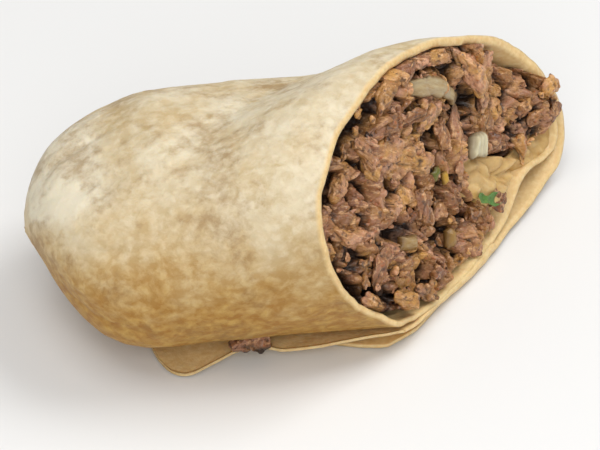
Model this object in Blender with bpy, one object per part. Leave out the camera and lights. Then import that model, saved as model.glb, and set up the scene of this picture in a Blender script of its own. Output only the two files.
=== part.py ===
"""Half a beef burrito, cut across on the slant and lying on its seam.

Two solids: the rolled flour tortilla, open at the cut and folded shut at the
other end, and the chopped beef that fills it. All sizes are in millimetres and
are turned to metres where the vertices are made. While it is being shaped, x
runs along the roll from the tip of the folded end, y from the seam side to the
far side, and z up from the floor. At the end the part moves so that the origin
is under the middle of its box.
"""

import math

import bmesh
import bpy
from mathutils import Vector, noise

MM = 0.001

# The roll.
AXIS_LENGTH = 86.4          # folded tip to the cut, along the roll's axis
CUT_SLANT = math.radians(39.7)   # how far the cut turns towards the seam side
CUT_LEAN = math.radians(17.6)    # how far the cut face looks upwards
BODY_HALF_WIDTH = 29.5      # plain oval of the body, away from the cut
BODY_HALF_HEIGHT = 22.5
BODY_SQUARENESS = 2.2       # superellipse power, 2 is a plain ellipse
BODY_SINK = 0.6             # depth of the sole pressed flat on the floor
AXIS_HEIGHT = 24.3          # height of the roll's axis at the cut

# The outline of the cut, y and z, from the seam corner over the top and back.
SEAM_CORNER = (-24.1, 7.5)
CUT_OUTLINE = [
    SEAM_CORNER,
    (-30.6, 19.0),          # belly of the seam side
    (-31.8, 29.1),
    (-25.4, 45.5),          # shoulder of the seam side
    (-11.1, 53.6),          # crown
    (4.0, 54.2),
    (19.0, 46.9),           # far shoulder
    (29.4, 36.1),
    (34.4, 20.0),           # far belly
    (31.9, 7.2),            # far foot
    (20.0, 2.0),
    (4.0, 0.0),             # sole
    (-9.0, 0.0),
    (-19.0, 2.6),
    SEAM_CORNER,
]
SOLE_END = 12               # index of the last point before the seam

# The outline of the inside, in the same order. The second layer and the
# crumpled inner end of the tortilla lie along the far foot and the sole.
CAVITY_CORNER = (-20.9, 8.3)
CAVITY_OUTLINE = [
    CAVITY_CORNER,
    (-28.7, 19.6),
    (-29.9, 29.1),
    (-23.9, 44.3),
    (-10.6, 51.7),
    (3.8, 52.3),
    (17.9, 45.4),
    (27.9, 35.0),
    (32.2, 22.5),
    (31.2, 16.6),           # top of the crumpled end
    (26.5, 12.8),
    (20.5, 11.2),
    (16.0, 8.4),
    (11.5, 5.2),            # foot of the crumpled end
    (4.0, 4.2),
    (-2.5, 4.0),
    (-10.0, 4.2),
    (-16.6, 5.8),
    CAVITY_CORNER,
]
FLARE_START = 4.0           # behind the cut, where the cut's outline holds
FLARE_END = 36.0            # behind the cut, where the plain oval is reached

# The folded end.
END_START = 2.4             # tip of the tucked-under layer
END_LENGTH = 25.0           # length of the rounded end
SHOULDER_POWER = 2.1        # higher for a squarer shoulder
TIP_POWER = 0.62            # lower for a blunter tip
TUCK_STEP = 2.6             # how far the top layer stands out over the tucked one
TUCK_PEAK = 19.0            # height of the tuck's edge in the middle of the end
TUCK_SLOPE = 0.8            # fall of its edge for each millimetre to the side
TUCK_SPREAD = 0.6           # how far the edge runs along the roll as it falls
TUCK_SOFTNESS = 3.0
PRESS_DEPTH = 3.0           # how far the top of the end is pressed down
PRESS_MIDDLE = 15.0
PRESS_REACH = 16.0
END_PLEATS = 9
END_PLEAT_DEPTH = 0.7

# The tortilla.
SHEET = 1.8                 # one layer
DOUBLE = 3.9                # two layers with the fat between them
CAVITY_START = 9.0          # closed end of the inside, from the tip
CAVITY_END_LENGTH = 22.0

# The flap, the free outer edge that lies under the seam corner.
FLAP_START = 21.0           # from the folded tip
FLAP_CORNER = 10.0          # length of its rounded corner
FLAP_SETBACK = 5.5          # how far its corner lies behind the cut
FLAP_EDGE_Y = -24.6
FLAP_EDGE_HEIGHT = 1.3      # middle of the edge, where it lies on the floor
FLAP_LIFT = 3.4             # how much higher the edge is near the cut
FLAP_WAVE = 0.8
FLAP_WAVE_LENGTH = 23.0
GROOVE_Y = -15.0            # bottom of the groove between flap and roll
GROOVE_HEIGHT = 2.7
FLAP_TIP_X = 75.0           # where its edge reaches the cut
FLAP_FREE_POINTS = 6        # points of the flap before the groove

# The filling.
FIT_GAP = 0.3               # between filling and tortilla
LUMP_SIZE = 7.0
LUMP_HEIGHT = 1.5
FAR_BULGE = 2.2             # how far the beef stands out at the far shoulder
NEAR_DIP = 2.4              # how far it lies back along the seam-side rim

# How finely the solids are divided.
AROUND = 44                 # points along the outline, seam corner to sole end
SEAM_POINTS = 8             # points of the flap and the groove
ALONG_OUTSIDE = 30
ALONG_INSIDE = 14
FACE_RINGS = 9

CUT_NORMAL = Vector((
    math.cos(CUT_LEAN) * math.cos(CUT_SLANT),
    -math.cos(CUT_LEAN) * math.sin(CUT_SLANT),
    math.sin(CUT_LEAN),
))
CUT_POINT = Vector((AXIS_LENGTH, 0.0, AXIS_HEIGHT))


def smoothstep(low, high, value):
    t = min(1.0, max(0.0, (value - low) / (high - low)))
    return t * t * (3.0 - 2.0 * t)


def lerp(start, end, share):
    return start + (end - start) * share


def bump(centre, half_width, value):
    """A round hill of height 1 around the centre, 0 beyond its half width."""
    t = (value - centre) / half_width
    return (1.0 - t * t) ** 2 if abs(t) < 1.0 else 0.0


def spline(points, t):
    """Point t (0 to 1) of the Catmull-Rom curve through the points."""
    place = t * (len(points) - 1)
    i = min(int(place), len(points) - 2)
    f = place - i
    p0 = Vector(points[max(i - 1, 0)])
    p1 = Vector(points[i])
    p2 = Vector(points[i + 1])
    p3 = Vector(points[min(i + 2, len(points) - 1)])
    return 0.5 * (
        2.0 * p1
        + (p2 - p0) * f
        + (2.0 * p0 - 5.0 * p1 + 4.0 * p2 - p3) * f * f
        + (3.0 * p1 - p0 - 3.0 * p2 + p3) * f ** 3
    )


def even_params(outline, start, end, count):
    """Curve params of evenly spaced points of an outline."""
    fine = [start + (end - start) * i / 400 for i in range(401)]
    places = [spline(outline, t) for t in fine]
    lengths = [0.0]
    for a, b in zip(places, places[1:]):
        lengths.append(lengths[-1] + (b - a).length)
    params = []
    i = 0
    for k in range(count):
        goal = lengths[-1] * k / (count - 1)
        while i < 399 and lengths[i + 1] < goal:
            i += 1
        part = (goal - lengths[i]) / (lengths[i + 1] - lengths[i])
        params.append(fine[i] + (fine[i + 1] - fine[i]) * part)
    return params


def moved_inwards(outline, t, depth):
    """Point t of an outline, moved inwards by depth, as y and z."""
    step = 0.004
    ahead = spline(outline, min(t + step, 1.0))
    behind = spline(outline, max(t - step, 0.0))
    along = (ahead - behind).normalized()
    inwards = Vector((along.y, -along.x))
    return spline(outline, t) + inwards * depth


def body_radius(angle, inset):
    width = BODY_HALF_WIDTH - inset
    height = BODY_HALF_HEIGHT - inset
    p = BODY_SQUARENESS
    return (abs(math.cos(angle) / width) ** p + abs(math.sin(angle) / height) ** p) ** (-1.0 / p)


def end_scale(x, start, length):
    """Size of the section at x, inside the rounded end that begins at start."""
    t = min(1.0, max(0.0, (start + length - x) / length))
    return (1.0 - t ** SHOULDER_POWER) ** TIP_POWER


def body_place(at_cut, inset, scale):
    """Point of the plain oval in the same direction as a point of the cut."""
    angle = math.atan2(at_cut.y - AXIS_HEIGHT, at_cut.x)
    radius = body_radius(angle, inset) * scale
    height = BODY_HALF_HEIGHT - BODY_SINK + radius * math.sin(angle)
    return Vector((radius * math.cos(angle), height))


def x_at_cut(place):
    """x of the cut plane above the point y, z."""
    rest = CUT_NORMAL.y * (place.x - CUT_POINT.y) + CUT_NORMAL.z * (place.y - CUT_POINT.z)
    return CUT_POINT.x - rest / CUT_NORMAL.x


def section_place(at_cut, inset, x, start, length):
    """y and z at x of the lengthwise line that ends in a point of the cut."""
    blend = smoothstep(FLARE_START, FLARE_END, x_at_cut(at_cut) - x)
    return at_cut.lerp(body_place(at_cut, inset, end_scale(x, start, length)), blend)


def folded_end(x, place):
    """A point of the outside moved by the pleats, the tuck and the pressed top."""
    angle = math.atan2(place.y - BODY_HALF_HEIGHT, place.x)
    shoulder = bump(0.5 * END_LENGTH, 0.5 * END_LENGTH, x)
    pleat = abs(math.sin(0.5 * END_PLEATS * angle + 0.6)) ** 0.7 - 0.6
    scale = 1.0 + END_PLEAT_DEPTH * pleat * shoulder / BODY_HALF_HEIGHT
    below = TUCK_PEAK - place.y + TUCK_SLOPE * abs(place.x)
    edge = END_START + TUCK_SPREAD * below
    top_layer = smoothstep(-TUCK_SOFTNESS, TUCK_SOFTNESS, x - edge)
    shift = TUCK_STEP * top_layer * (1.0 - smoothstep(0.3, 1.0, x / END_LENGTH))
    upper = smoothstep(0.0, BODY_HALF_HEIGHT, place.y - BODY_HALF_HEIGHT)
    press = PRESS_DEPTH * upper * bump(PRESS_MIDDLE, PRESS_REACH, x)
    z = BODY_HALF_HEIGHT + (place.y - BODY_HALF_HEIGHT) * scale - press
    return Vector((x - shift, place.x * scale, max(0.0, z)))


def flap_profile(x, sole_end, seam_corner):
    """Points of the flap and the groove, from the sole to the seam corner."""
    near_cut = smoothstep(30.0, 68.0, x) - 0.8 * smoothstep(68.0, 75.0, x)
    wave = FLAP_WAVE * math.sin(2.0 * math.pi * x / FLAP_WAVE_LENGTH)
    edge = Vector((FLAP_EDGE_Y + 0.6 * wave, FLAP_EDGE_HEIGHT + FLAP_LIFT * near_cut))
    edge.y += 0.5 * (wave + FLAP_WAVE) * near_cut
    groove = Vector((GROOVE_Y, GROOVE_HEIGHT))
    half = Vector((0.0, 0.5 * SHEET))
    low = edge - half + Vector((0.5, 0.1))
    high = edge + half + Vector((0.5, -0.1))
    return [
        sole_end.lerp(low, 0.35),
        sole_end.lerp(low, 0.7),
        low,
        edge,
        high,
        high.lerp(groove, 0.5),
        groove,
        groove.lerp(seam_corner, 0.5),
    ]


def flap_reach(i):
    """x at which point i of the flap ends, on the cut or a little behind it."""
    sole_end = Vector(CUT_OUTLINE[SOLE_END])
    place = flap_profile(FLAP_TIP_X, sole_end, Vector(SEAM_CORNER))[i]
    outwards = (GROOVE_Y - place.x) / (GROOVE_Y - FLAP_EDGE_Y)
    setback = FLAP_SETBACK * max(0.0, outwards) ** 2 if i < FLAP_FREE_POINTS else 0.0
    return x_at_cut(place) - setback


SOLE_PARAM = SOLE_END / (len(CUT_OUTLINE) - 1)
OUTLINE_PARAMS = even_params(CUT_OUTLINE, 0.0, SOLE_PARAM, AROUND)
SEAM_PARAMS = even_params(CUT_OUTLINE, SOLE_PARAM, 1.0, SEAM_POINTS + 2)[1:-1]
CAVITY_PARAMS = even_params(CAVITY_OUTLINE, 0.0, 1.0, AROUND + SEAM_POINTS + 1)[:-1]


def outside_ring(share):
    """Ring of the outside at a share of the way from the cut to the folded tip."""
    ring = []
    for t in OUTLINE_PARAMS + SEAM_PARAMS:
        at_cut = spline(CUT_OUTLINE, t)
        x = lerp(x_at_cut(at_cut), END_START, share)
        ring.append((x, section_place(at_cut, 0.0, x, END_START, END_LENGTH)))
    sole_end = ring[AROUND - 1][1]
    corner = ring[0][1]
    for i in range(SEAM_POINTS):
        plain = ring[AROUND + i][1]
        x = lerp(flap_reach(i), END_START, share)
        t = min(1.0, max(0.0, (x - FLAP_START) / FLAP_CORNER))
        flap = flap_profile(x, sole_end, corner)[i]
        ring[AROUND + i] = (x, plain.lerp(flap, math.sqrt(1.0 - (1.0 - t) ** 2)))
    return [folded_end(x, place) for x, place in ring]


def inside_ring(share, gap):
    """Ring of the inside of the tortilla, or of the filling with a gap."""
    ring = []
    end = CAVITY_START + gap
    for t in CAVITY_PARAMS:
        at_cut = moved_inwards(CAVITY_OUTLINE, t, gap)
        cut_x = x_at_cut(at_cut)
        x = lerp(cut_x, end, share)
        place = section_place(at_cut, DOUBLE + gap, x, end, CAVITY_END_LENGTH)
        ring.append(Vector((x, place.x, place.y)))
    return ring


def add_ring(mesh, points):
    return [mesh.verts.new(point * MM) for point in points]


def bridge(mesh, first, second):
    count = len(first)
    for i in range(count):
        j = (i + 1) % count
        mesh.faces.new((first[i], first[j], second[j], second[i]))


def close_with_point(mesh, ring, point):
    tip = mesh.verts.new(point * MM)
    count = len(ring)
    for i in range(count):
        mesh.faces.new((ring[i], ring[(i + 1) % count], tip))


def ring_middle(points):
    return sum(points, Vector()) / len(points)


def tube_of_rings(mesh, rings):
    """Walls through the rings, shut at the last ring with one point."""
    made = [add_ring(mesh, ring) for ring in rings[:-1]]
    for first, second in zip(made, made[1:]):
        bridge(mesh, first, second)
    close_with_point(mesh, made[-1], ring_middle(rings[-1]))
    return made[0]


def shares(count, crowding):
    """Shares from 0 to 1, closer together towards 1."""
    return [1.0 - (1.0 - i / count) ** crowding for i in range(count + 1)]


def fill_between(mesh, outer, inner):
    """The cut edge of the tortilla, a flat face between two closed outlines."""
    edges = []
    for ring in (outer, inner):
        for i, vert in enumerate(ring):
            edges.append(mesh.edges.get((vert, ring[(i + 1) % len(ring)])))
    bmesh.ops.triangle_fill(mesh, edges=edges, use_beauty=True, use_dissolve=False)


def beef_relief(place, edge_share):
    """How far the beef stands out of the cut plane at y, z."""
    spot = Vector((place.x, place.y, 3.0)) / LUMP_SIZE
    lumps = LUMP_HEIGHT * noise.noise(spot) * 1.6
    far = smoothstep(8.0, 30.0, place.x) * smoothstep(12.0, 30.0, place.y)
    near = smoothstep(-6.0, -26.0, place.x) * smoothstep(12.0, 34.0, place.y)
    lift = FAR_BULGE * far - NEAR_DIP * near
    return (lumps + lift) * (1.0 - edge_share ** 6) - 0.5 * edge_share ** 6


def beef_face(mesh, rim_points, rim):
    """Uneven cut face of the beef, in rings from its rim to the middle."""
    middle = ring_middle(rim_points)
    previous = rim
    for k in range(1, FACE_RINGS):
        share = 1.0 - k / FACE_RINGS
        points = []
        for point in rim_points:
            place = middle.lerp(point, share)
            flat = Vector((place.y, place.z))
            points.append(place + CUT_NORMAL * beef_relief(flat, share))
        ring = add_ring(mesh, points)
        bridge(mesh, ring, previous)
        previous = ring
    lift = CUT_NORMAL * beef_relief(Vector((middle.y, middle.z)), 0.0)
    close_with_point(mesh, list(reversed(previous)), middle + lift)


def food_material(name, colour, roughness):
    material = bpy.data.materials.new(name)
    material.use_nodes = True
    shader = material.node_tree.nodes["Principled BSDF"]
    shader.inputs["Base Color"].default_value = (*colour, 1.0)
    shader.inputs["Roughness"].default_value = roughness
    shader.inputs["Metallic"].default_value = 0.0
    return material


def make_object(name, mesh, material):
    bmesh.ops.recalc_face_normals(mesh, faces=mesh.faces)
    data = bpy.data.meshes.new(name)
    mesh.to_mesh(data)
    mesh.free()
    data.materials.append(material)
    data.polygons.foreach_set("use_smooth", [True] * len(data.polygons))
    made = bpy.data.objects.new(name, data)
    bpy.context.scene.collection.objects.link(made)
    return made


def make_tortilla():
    mesh = bmesh.new()
    outer = tube_of_rings(mesh, [outside_ring(s) for s in shares(ALONG_OUTSIDE, 1.5)])
    inner = tube_of_rings(mesh, [inside_ring(s, 0.0) for s in shares(ALONG_INSIDE, 1.5)])
    fill_between(mesh, outer, inner)
    material = food_material("flour_tortilla", (0.68, 0.53, 0.33), 0.6)
    return make_object("tortilla", mesh, material)


def make_filling():
    mesh = bmesh.new()
    rings = [inside_ring(s, FIT_GAP) for s in shares(ALONG_INSIDE, 1.5)]
    rim = tube_of_rings(mesh, rings)
    beef_face(mesh, rings[0], rim)
    material = food_material("chopped_beef", (0.29, 0.16, 0.09), 0.5)
    return make_object("beef_filling", mesh, material)


def centre_on_footprint(objects):
    """Moves the vertices so that the origin is under the middle of the box."""
    corners = [Vector(c) for made in objects for c in made.bound_box]
    low = Vector([min(c[i] for c in corners) for i in range(3)])
    high = Vector([max(c[i] for c in corners) for i in range(3)])
    shift = Vector((-0.5 * (low.x + high.x), -0.5 * (low.y + high.y), -low.z))
    for made in objects:
        for vert in made.data.vertices:
            vert.co += shift
        made.data.update()
    print("box", [round(v / MM, 2) for v in high - low], "shift", [round(v / MM, 3) for v in shift])


def main():
    for old in list(bpy.data.objects):
        bpy.data.objects.remove(old, do_unlink=True)
    centre_on_footprint([make_tortilla(), make_filling()])


main()
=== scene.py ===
"""Half a beef burrito, cut on the slant: its looks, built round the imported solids.

The roll is shaped in millimetres in its own frame: x from the folded tip along
the roll, y from the seam side to the far side, z up from the floor. Every piece
is moved from there into the part's frame by the low corner of the CAD box.
"""

import itertools
import math

import bmesh
import bpy
import numpy as np
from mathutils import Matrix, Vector


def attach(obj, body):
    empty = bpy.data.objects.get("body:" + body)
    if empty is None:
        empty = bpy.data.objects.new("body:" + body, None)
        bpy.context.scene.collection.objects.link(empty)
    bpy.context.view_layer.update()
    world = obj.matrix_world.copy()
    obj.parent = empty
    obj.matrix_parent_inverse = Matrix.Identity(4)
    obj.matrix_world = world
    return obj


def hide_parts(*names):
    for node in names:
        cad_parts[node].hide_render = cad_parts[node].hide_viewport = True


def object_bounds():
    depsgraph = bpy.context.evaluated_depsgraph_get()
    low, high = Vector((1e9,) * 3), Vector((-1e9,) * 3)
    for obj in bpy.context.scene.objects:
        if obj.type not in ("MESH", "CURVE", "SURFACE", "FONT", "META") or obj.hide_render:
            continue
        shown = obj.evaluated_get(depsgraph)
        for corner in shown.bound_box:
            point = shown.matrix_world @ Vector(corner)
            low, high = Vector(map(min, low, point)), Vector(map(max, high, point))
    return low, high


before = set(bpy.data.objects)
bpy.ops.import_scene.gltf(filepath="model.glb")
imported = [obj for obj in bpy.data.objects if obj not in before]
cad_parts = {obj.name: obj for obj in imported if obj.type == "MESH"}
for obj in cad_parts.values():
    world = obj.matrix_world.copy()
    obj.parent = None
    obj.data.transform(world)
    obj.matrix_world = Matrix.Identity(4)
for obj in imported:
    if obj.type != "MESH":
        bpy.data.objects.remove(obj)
cad_low, cad_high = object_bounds()

MM = 0.001
ROLL_LOW = np.array((0.095, -32.157, 0.0))      # low corner of the box in the roll's frame
ROLL_SHIFT = np.array(cad_low) / MM - ROLL_LOW

# The roll, the same sizes as in its solids.
AXIS_LENGTH = 86.4
AXIS_HEIGHT = 24.3
CUT_SLANT = math.radians(39.7)
CUT_LEAN = math.radians(17.6)
CUT_NORMAL = np.array((
    math.cos(CUT_LEAN) * math.cos(CUT_SLANT),
    -math.cos(CUT_LEAN) * math.sin(CUT_SLANT),
    math.sin(CUT_LEAN),
))
CUT_POINT = np.array((AXIS_LENGTH, 0.0, AXIS_HEIGHT))
FACE_ACROSS = np.cross((0.0, 0.0, 1.0), CUT_NORMAL)
FACE_ACROSS = FACE_ACROSS / np.linalg.norm(FACE_ACROSS)
FACE_UP = np.cross(CUT_NORMAL, FACE_ACROSS)
FACE_AXES = np.stack((FACE_ACROSS, FACE_UP, CUT_NORMAL))
BODY_HALF_WIDTH = 29.5
BODY_HALF_HEIGHT = 22.5
BODY_SQUARENESS = 2.2
BODY_SINK = 0.6
FLARE_START = 4.0
FLARE_END = 36.0
END_START = 2.4
END_LENGTH = 25.0
LAYER_SETBACK = 1.1         # how much later a layer starts for each mm that it lies inside
SHOULDER_POWER = 2.1
TIP_POWER = 0.62

# The tortilla's outer side at the cut, in one turn and a bit: y, z, how far the
# layer lies inside the plain body, and its thickness.
ROLLED_SHEET = [
    (32.6, 15.5, 2.4, 0.9),     # inner end, crumpled at the far foot
    (31.2, 10.6, 2.6, 1.2),
    (28.2, 7.6, 2.6, 1.3),
    (24.4, 7.3, 2.6, 1.3),
    (20.6, 8.6, 2.6, 1.4),
    (17.2, 8.2, 2.4, 1.4),
    (13.8, 6.2, 2.0, 1.3),
    (9.6, 4.3, 1.6, 1.2),
    (4.0, 3.2, 1.5, 1.2),
    (-4.0, 2.6, 1.5, 1.2),
    (-10.0, 2.8, 1.5, 1.2),
    (-16.0, 4.2, 1.4, 1.2),
    (-21.0, 6.2, 1.2, 1.2),
    (-24.2, 8.0, 0.8, 1.2),     # seam corner
    (-27.0, 12.2, 0.3, 1.2),
    (-30.6, 19.6, 0.0, 1.2),    # near side
    (-31.8, 29.4, 0.0, 1.2),
    (-29.9, 38.3, 0.0, 1.25),
    (-25.4, 45.5, 0.0, 1.3),
    (-18.8, 50.6, 0.0, 1.4),
    (-11.1, 53.6, 0.0, 1.5),    # crown
    (-3.4, 54.6, 0.0, 1.6),
    (4.0, 54.2, 0.0, 1.7),
    (11.8, 51.6, 0.0, 1.8),
    (19.0, 46.9, 0.0, 1.8),
    (25.0, 41.5, 0.0, 1.8),
    (29.4, 36.1, 0.0, 1.8),     # far side
    (32.8, 28.4, 0.0, 1.7),
    (34.4, 20.0, 0.0, 1.6),
    (34.3, 13.2, 0.0, 1.5),
    (31.4, 7.0, 0.0, 1.4),      # far foot, outer layer
    (26.6, 3.6, 0.0, 1.3),
    (20.0, 2.3, 0.0, 1.25),
    (12.0, 1.8, 0.0, 1.2),
    (4.0, 1.4, 0.0, 1.2),
]

# The free edge of the flap, from where it comes out from under the roll.
FLAP_EDGE = [
    (20.0, -9.0, 0.9), (23.5, -15.0, 0.7), (25.0, -19.5, 0.6), (27.2, -23.4, 0.5),
    (30.6, -24.8, 0.6), (35.5, -23.4, 1.7), (41.0, -21.3, 2.7), (46.0, -21.2, 2.8),
    (50.5, -22.9, 2.9), (56.5, -23.7, 3.6), (62.0, -23.9, 4.3), (67.5, -23.9, 4.9),
    (74.0, -23.6, 5.7),
]
FLAP_CORNER = (-23.6, 5.6)      # y and z of the flap's edge in the cut
FLAP_SAG = 0.3                  # height of the flap's middle over the floor
FLAP_TUCKED_Y = -9.0            # where the edge lies under the folded end
FLAP_TUCKED_INSET = 2.6
FLAP_COMES_OUT = (19.0, 25.0)   # from x to x
FLAP_THICKNESS = 1.2
FLAP_THINNING = 0.45            # how much thinner its edge is


def soft_step(low, high, value):
    t = np.clip((value - low) / (high - low), 0.0, 1.0)
    return t * t * (3.0 - 2.0 * t)


def hump(centre, half_width, value):
    t = (value - centre) / half_width
    return np.where(np.abs(t) < 1.0, (1.0 - t * t) ** 2, 0.0)


def scrambled(x, y, z):
    """A whole number for each cell that looks random beside its neighbours'."""
    return (x * 73856093) ^ (y * 19349663) ^ (z * 83492791)


def stirred(number):
    return (number ^ (number >> 13)) * 1274126177


def chance_of(number):
    """The number's low bits, as a chance from 0 to 1."""
    return ((number ^ (number >> 16)) & 0xFFFF) / 65535.0


def lumpiness(points, size, seed):
    """Smooth noise from -1 to 1 whose humps are about that many millimetres apart."""
    spots = np.asarray(points, float) / size + seed * 17.31
    cell = np.floor(spots).astype(np.int64)
    part = spots - cell
    blend = part * part * (3.0 - 2.0 * part)
    total = np.zeros(spots.shape[:-1])
    for corner in itertools.product((0, 1), repeat=3):
        at = cell + np.array(corner)
        value = 2.0 * chance_of(stirred(scrambled(at[..., 0], at[..., 1], at[..., 2]))) - 1.0
        total += value * np.prod(np.where(np.array(corner) == 1, blend, 1.0 - blend), axis=-1)
    return total


def layered(points, *layers):
    """Lumpiness in layers, each given as its height, size and seed."""
    return sum(height * lumpiness(points, size, seed) for height, size, seed in layers)


def creased(points, size, seed, power=0.8):
    """Rounded humps, 0 to 1 high, parted by sharp creases."""
    return np.abs(lumpiness(points, size, seed)) ** power


def curve_through(points, count):
    """Evenly spaced points of a smooth curve through the given ones."""
    points = np.asarray(points, float)
    ends = np.vstack((2 * points[0] - points[1], points, 2 * points[-1] - points[-2]))
    steps = 24
    fine = []
    for i in range(len(points) - 1):
        p0, p1, p2, p3 = ends[i:i + 4]
        for f in np.arange(steps) / steps:
            fine.append(0.5 * (2 * p1 + (p2 - p0) * f + (2 * p0 - 5 * p1 + 4 * p2 - p3) * f * f
                               + (3 * p1 - p0 - 3 * p2 + p3) * f ** 3))
    fine.append(points[-1])
    fine = np.array(fine)
    lengths = np.append(0.0, np.cumsum(np.linalg.norm(np.diff(fine[:, :2], axis=0), axis=1)))
    goals = np.linspace(0.0, lengths[-1], count)
    return np.stack([np.interp(goals, lengths, values) for values in fine.T], axis=1)


def unit(vectors, least=1e-9):
    return vectors / np.maximum(np.linalg.norm(vectors, axis=-1, keepdims=True), least)


def x_at_cut(y, z):
    rest = CUT_NORMAL[1] * (y - CUT_POINT[1]) + CUT_NORMAL[2] * (z - CUT_POINT[2])
    return CUT_POINT[0] - rest / CUT_NORMAL[0]


def face_place(y, z, depth):
    """The point of the cut face at y, z, moved back into the roll until it is so deep."""
    y, z, depth = np.broadcast_arrays(*(np.asarray(value, float) for value in (y, z, depth)))
    return np.stack((x_at_cut(y, z) - depth / CUT_NORMAL[0], y, z), axis=-1)


def body_radius(angle, inset):
    width = BODY_HALF_WIDTH - inset
    height = BODY_HALF_HEIGHT - inset
    p = BODY_SQUARENESS
    return (np.abs(np.cos(angle) / width) ** p + np.abs(np.sin(angle) / height) ** p) ** (-1.0 / p)


def in_the_roll(y, z, inset, x, start):
    """y and z at x of the lengthwise line that ends at y, z in the cut."""
    t = np.clip((start + END_LENGTH - x) / END_LENGTH, 0.0, 1.0)
    scale = (1.0 - t ** SHOULDER_POWER) ** TIP_POWER
    angle = np.arctan2(z - AXIS_HEIGHT, y)
    radius = body_radius(angle, inset) * scale
    body_y = radius * np.cos(angle)
    body_z = BODY_HALF_HEIGHT - BODY_SINK + radius * np.sin(angle)
    blend = soft_step(FLARE_START, FLARE_END, x_at_cut(y, z) - x)
    return y + (body_y - y) * blend, z + (body_z - z) * blend


# The folded end.
TUCK_STEP = 2.2             # how far the top layer stands over the tucked one
TUCK_PEAK = 19.0
TUCK_SLOPE = 0.8
TUCK_SPREAD = 0.6
TUCK_SOFTNESS = 3.6
TUCK_WANDER = (1.2, 9.0, 4)
PRESS_DEPTH = 3.0
PRESS_MIDDLE = 15.0
PRESS_REACH = 16.0
END_PLEATS = 9
END_PLEAT_DEPTH = 1.4
END_PLEAT_TURN = 0.6
END_PLEAT_POWER = 0.7


def folded_end(points):
    """Pleats the closed end, tucks its lower layer in and presses its top down."""
    x, y, z = points[..., 0], points[..., 1], points[..., 2]
    angle = np.arctan2(z - BODY_HALF_HEIGHT, y)
    shoulder = hump(0.5 * END_LENGTH, 0.5 * END_LENGTH, x)
    pleat = np.abs(np.sin(0.5 * END_PLEATS * angle + END_PLEAT_TURN)) ** END_PLEAT_POWER - 0.6
    scale = 1.0 + END_PLEAT_DEPTH * pleat * shoulder / BODY_HALF_HEIGHT
    edge = END_START + TUCK_SPREAD * (TUCK_PEAK - z + TUCK_SLOPE * np.abs(y))
    edge = edge + layered(points, TUCK_WANDER)
    top_layer = soft_step(-TUCK_SOFTNESS, TUCK_SOFTNESS, x - edge)
    shift = TUCK_STEP * top_layer * (1.0 - soft_step(0.3, 1.0, x / END_LENGTH))
    upper = soft_step(0.0, BODY_HALF_HEIGHT, z - BODY_HALF_HEIGHT)
    press = PRESS_DEPTH * upper * hump(PRESS_MIDDLE, PRESS_REACH, x)
    new_z = BODY_HALF_HEIGHT + (z - BODY_HALF_HEIGHT) * scale - press
    return np.stack((x - shift, y * scale, np.maximum(new_z, 0.0)), axis=-1)


# ---------------------------------------------------------------- meshes


def mesh_piece(name, points, faces, material, attributes):
    """One smooth-shaded piece from points in the roll's frame, in millimetres."""
    data = bpy.data.meshes.new(name)
    placed = (np.asarray(points, float) + ROLL_SHIFT) * MM
    data.from_pydata(placed.tolist(), [], [tuple(int(i) for i in f) for f in faces])
    data.polygons.foreach_set("use_smooth", [True] * len(data.polygons))
    for label, values in attributes.items():
        values = np.asarray(values, np.float32)
        kind, field = ("FLOAT", "value") if values.ndim == 1 else ("FLOAT_VECTOR", "vector")
        data.attributes.new(label, kind, "POINT").data.foreach_set(field, values.ravel())
    data.materials.append(material)
    data.update()
    made = bpy.data.objects.new(name, data)
    bpy.context.scene.collection.objects.link(made)
    return made


def grid_faces(rows, columns, offset=0, flip=False):
    faces = []
    for r in range(rows - 1):
        for c in range(columns - 1):
            first = offset + r * columns + c
            quad = (first, first + 1, first + columns + 1, first + columns)
            faces.append(tuple(reversed(quad)) if flip else quad)
    return faces


def grid_border(rows, columns):
    """Rows and columns of the points round a grid, in order."""
    border = ([(0, c) for c in range(columns)]
              + [(r, columns - 1) for r in range(1, rows)]
              + [(rows - 1, c) for c in range(columns - 2, -1, -1)]
              + [(r, 0) for r in range(rows - 2, 0, -1)])
    return np.array(border).T


def closed_sheet_faces(rows, columns):
    """Faces of a thin closed piece made of two grids of points that lie face to face."""
    count = rows * columns
    faces = grid_faces(rows, columns) + grid_faces(rows, columns, count, flip=True)
    border_rows, border_columns = grid_border(rows, columns)
    edge = border_rows * columns + border_columns
    for a, b in zip(edge, np.roll(edge, -1)):
        faces.append((b, a, count + a, count + b))
    return faces


def both_sides(front, back):
    return np.concatenate((front.reshape(-1, 3), back.reshape(-1, 3)))


def closed_sheet(name, front, back, material, attributes):
    faces = closed_sheet_faces(*front.shape[:2])
    return mesh_piece(name, both_sides(front, back), faces, material, attributes)


# ---------------------------------------------------------------- materials


def linear(hex_colour):
    """An sRGB hex colour as the linear colour that shaders take."""
    parts = [int(hex_colour[i:i + 2], 16) / 255.0 for i in (1, 3, 5)]
    return tuple(p / 12.92 if p <= 0.04045 else ((p + 0.055) / 1.055) ** 2.4 for p in parts) + (1.0,)


def fill_inputs(tree, node, inputs):
    """Sets or links a node's inputs. Colours are given as sRGB hex."""
    for name, value in inputs.items():
        if isinstance(value, bpy.types.NodeSocket):
            tree.links.new(value, node.inputs[name])
        else:
            node.inputs[name].default_value = linear(value) if isinstance(value, str) else value


def add_node(tree, kind, inputs=None, **settings):
    """Adds a node with its settings and links, and gives its outputs."""
    made = tree.nodes.new("ShaderNode" + kind)
    for name, value in settings.items():
        setattr(made, name, value)
    fill_inputs(tree, made, inputs or {})
    return made.outputs


def per_mm(size):
    """Texture scale whose pattern repeats about every so many millimetres."""
    return 1.0 / (size * MM)


def new_material(name):
    material = bpy.data.materials.new(name)
    material.use_nodes = True
    tree = material.node_tree
    return material, tree, tree.nodes["Principled BSDF"]


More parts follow.
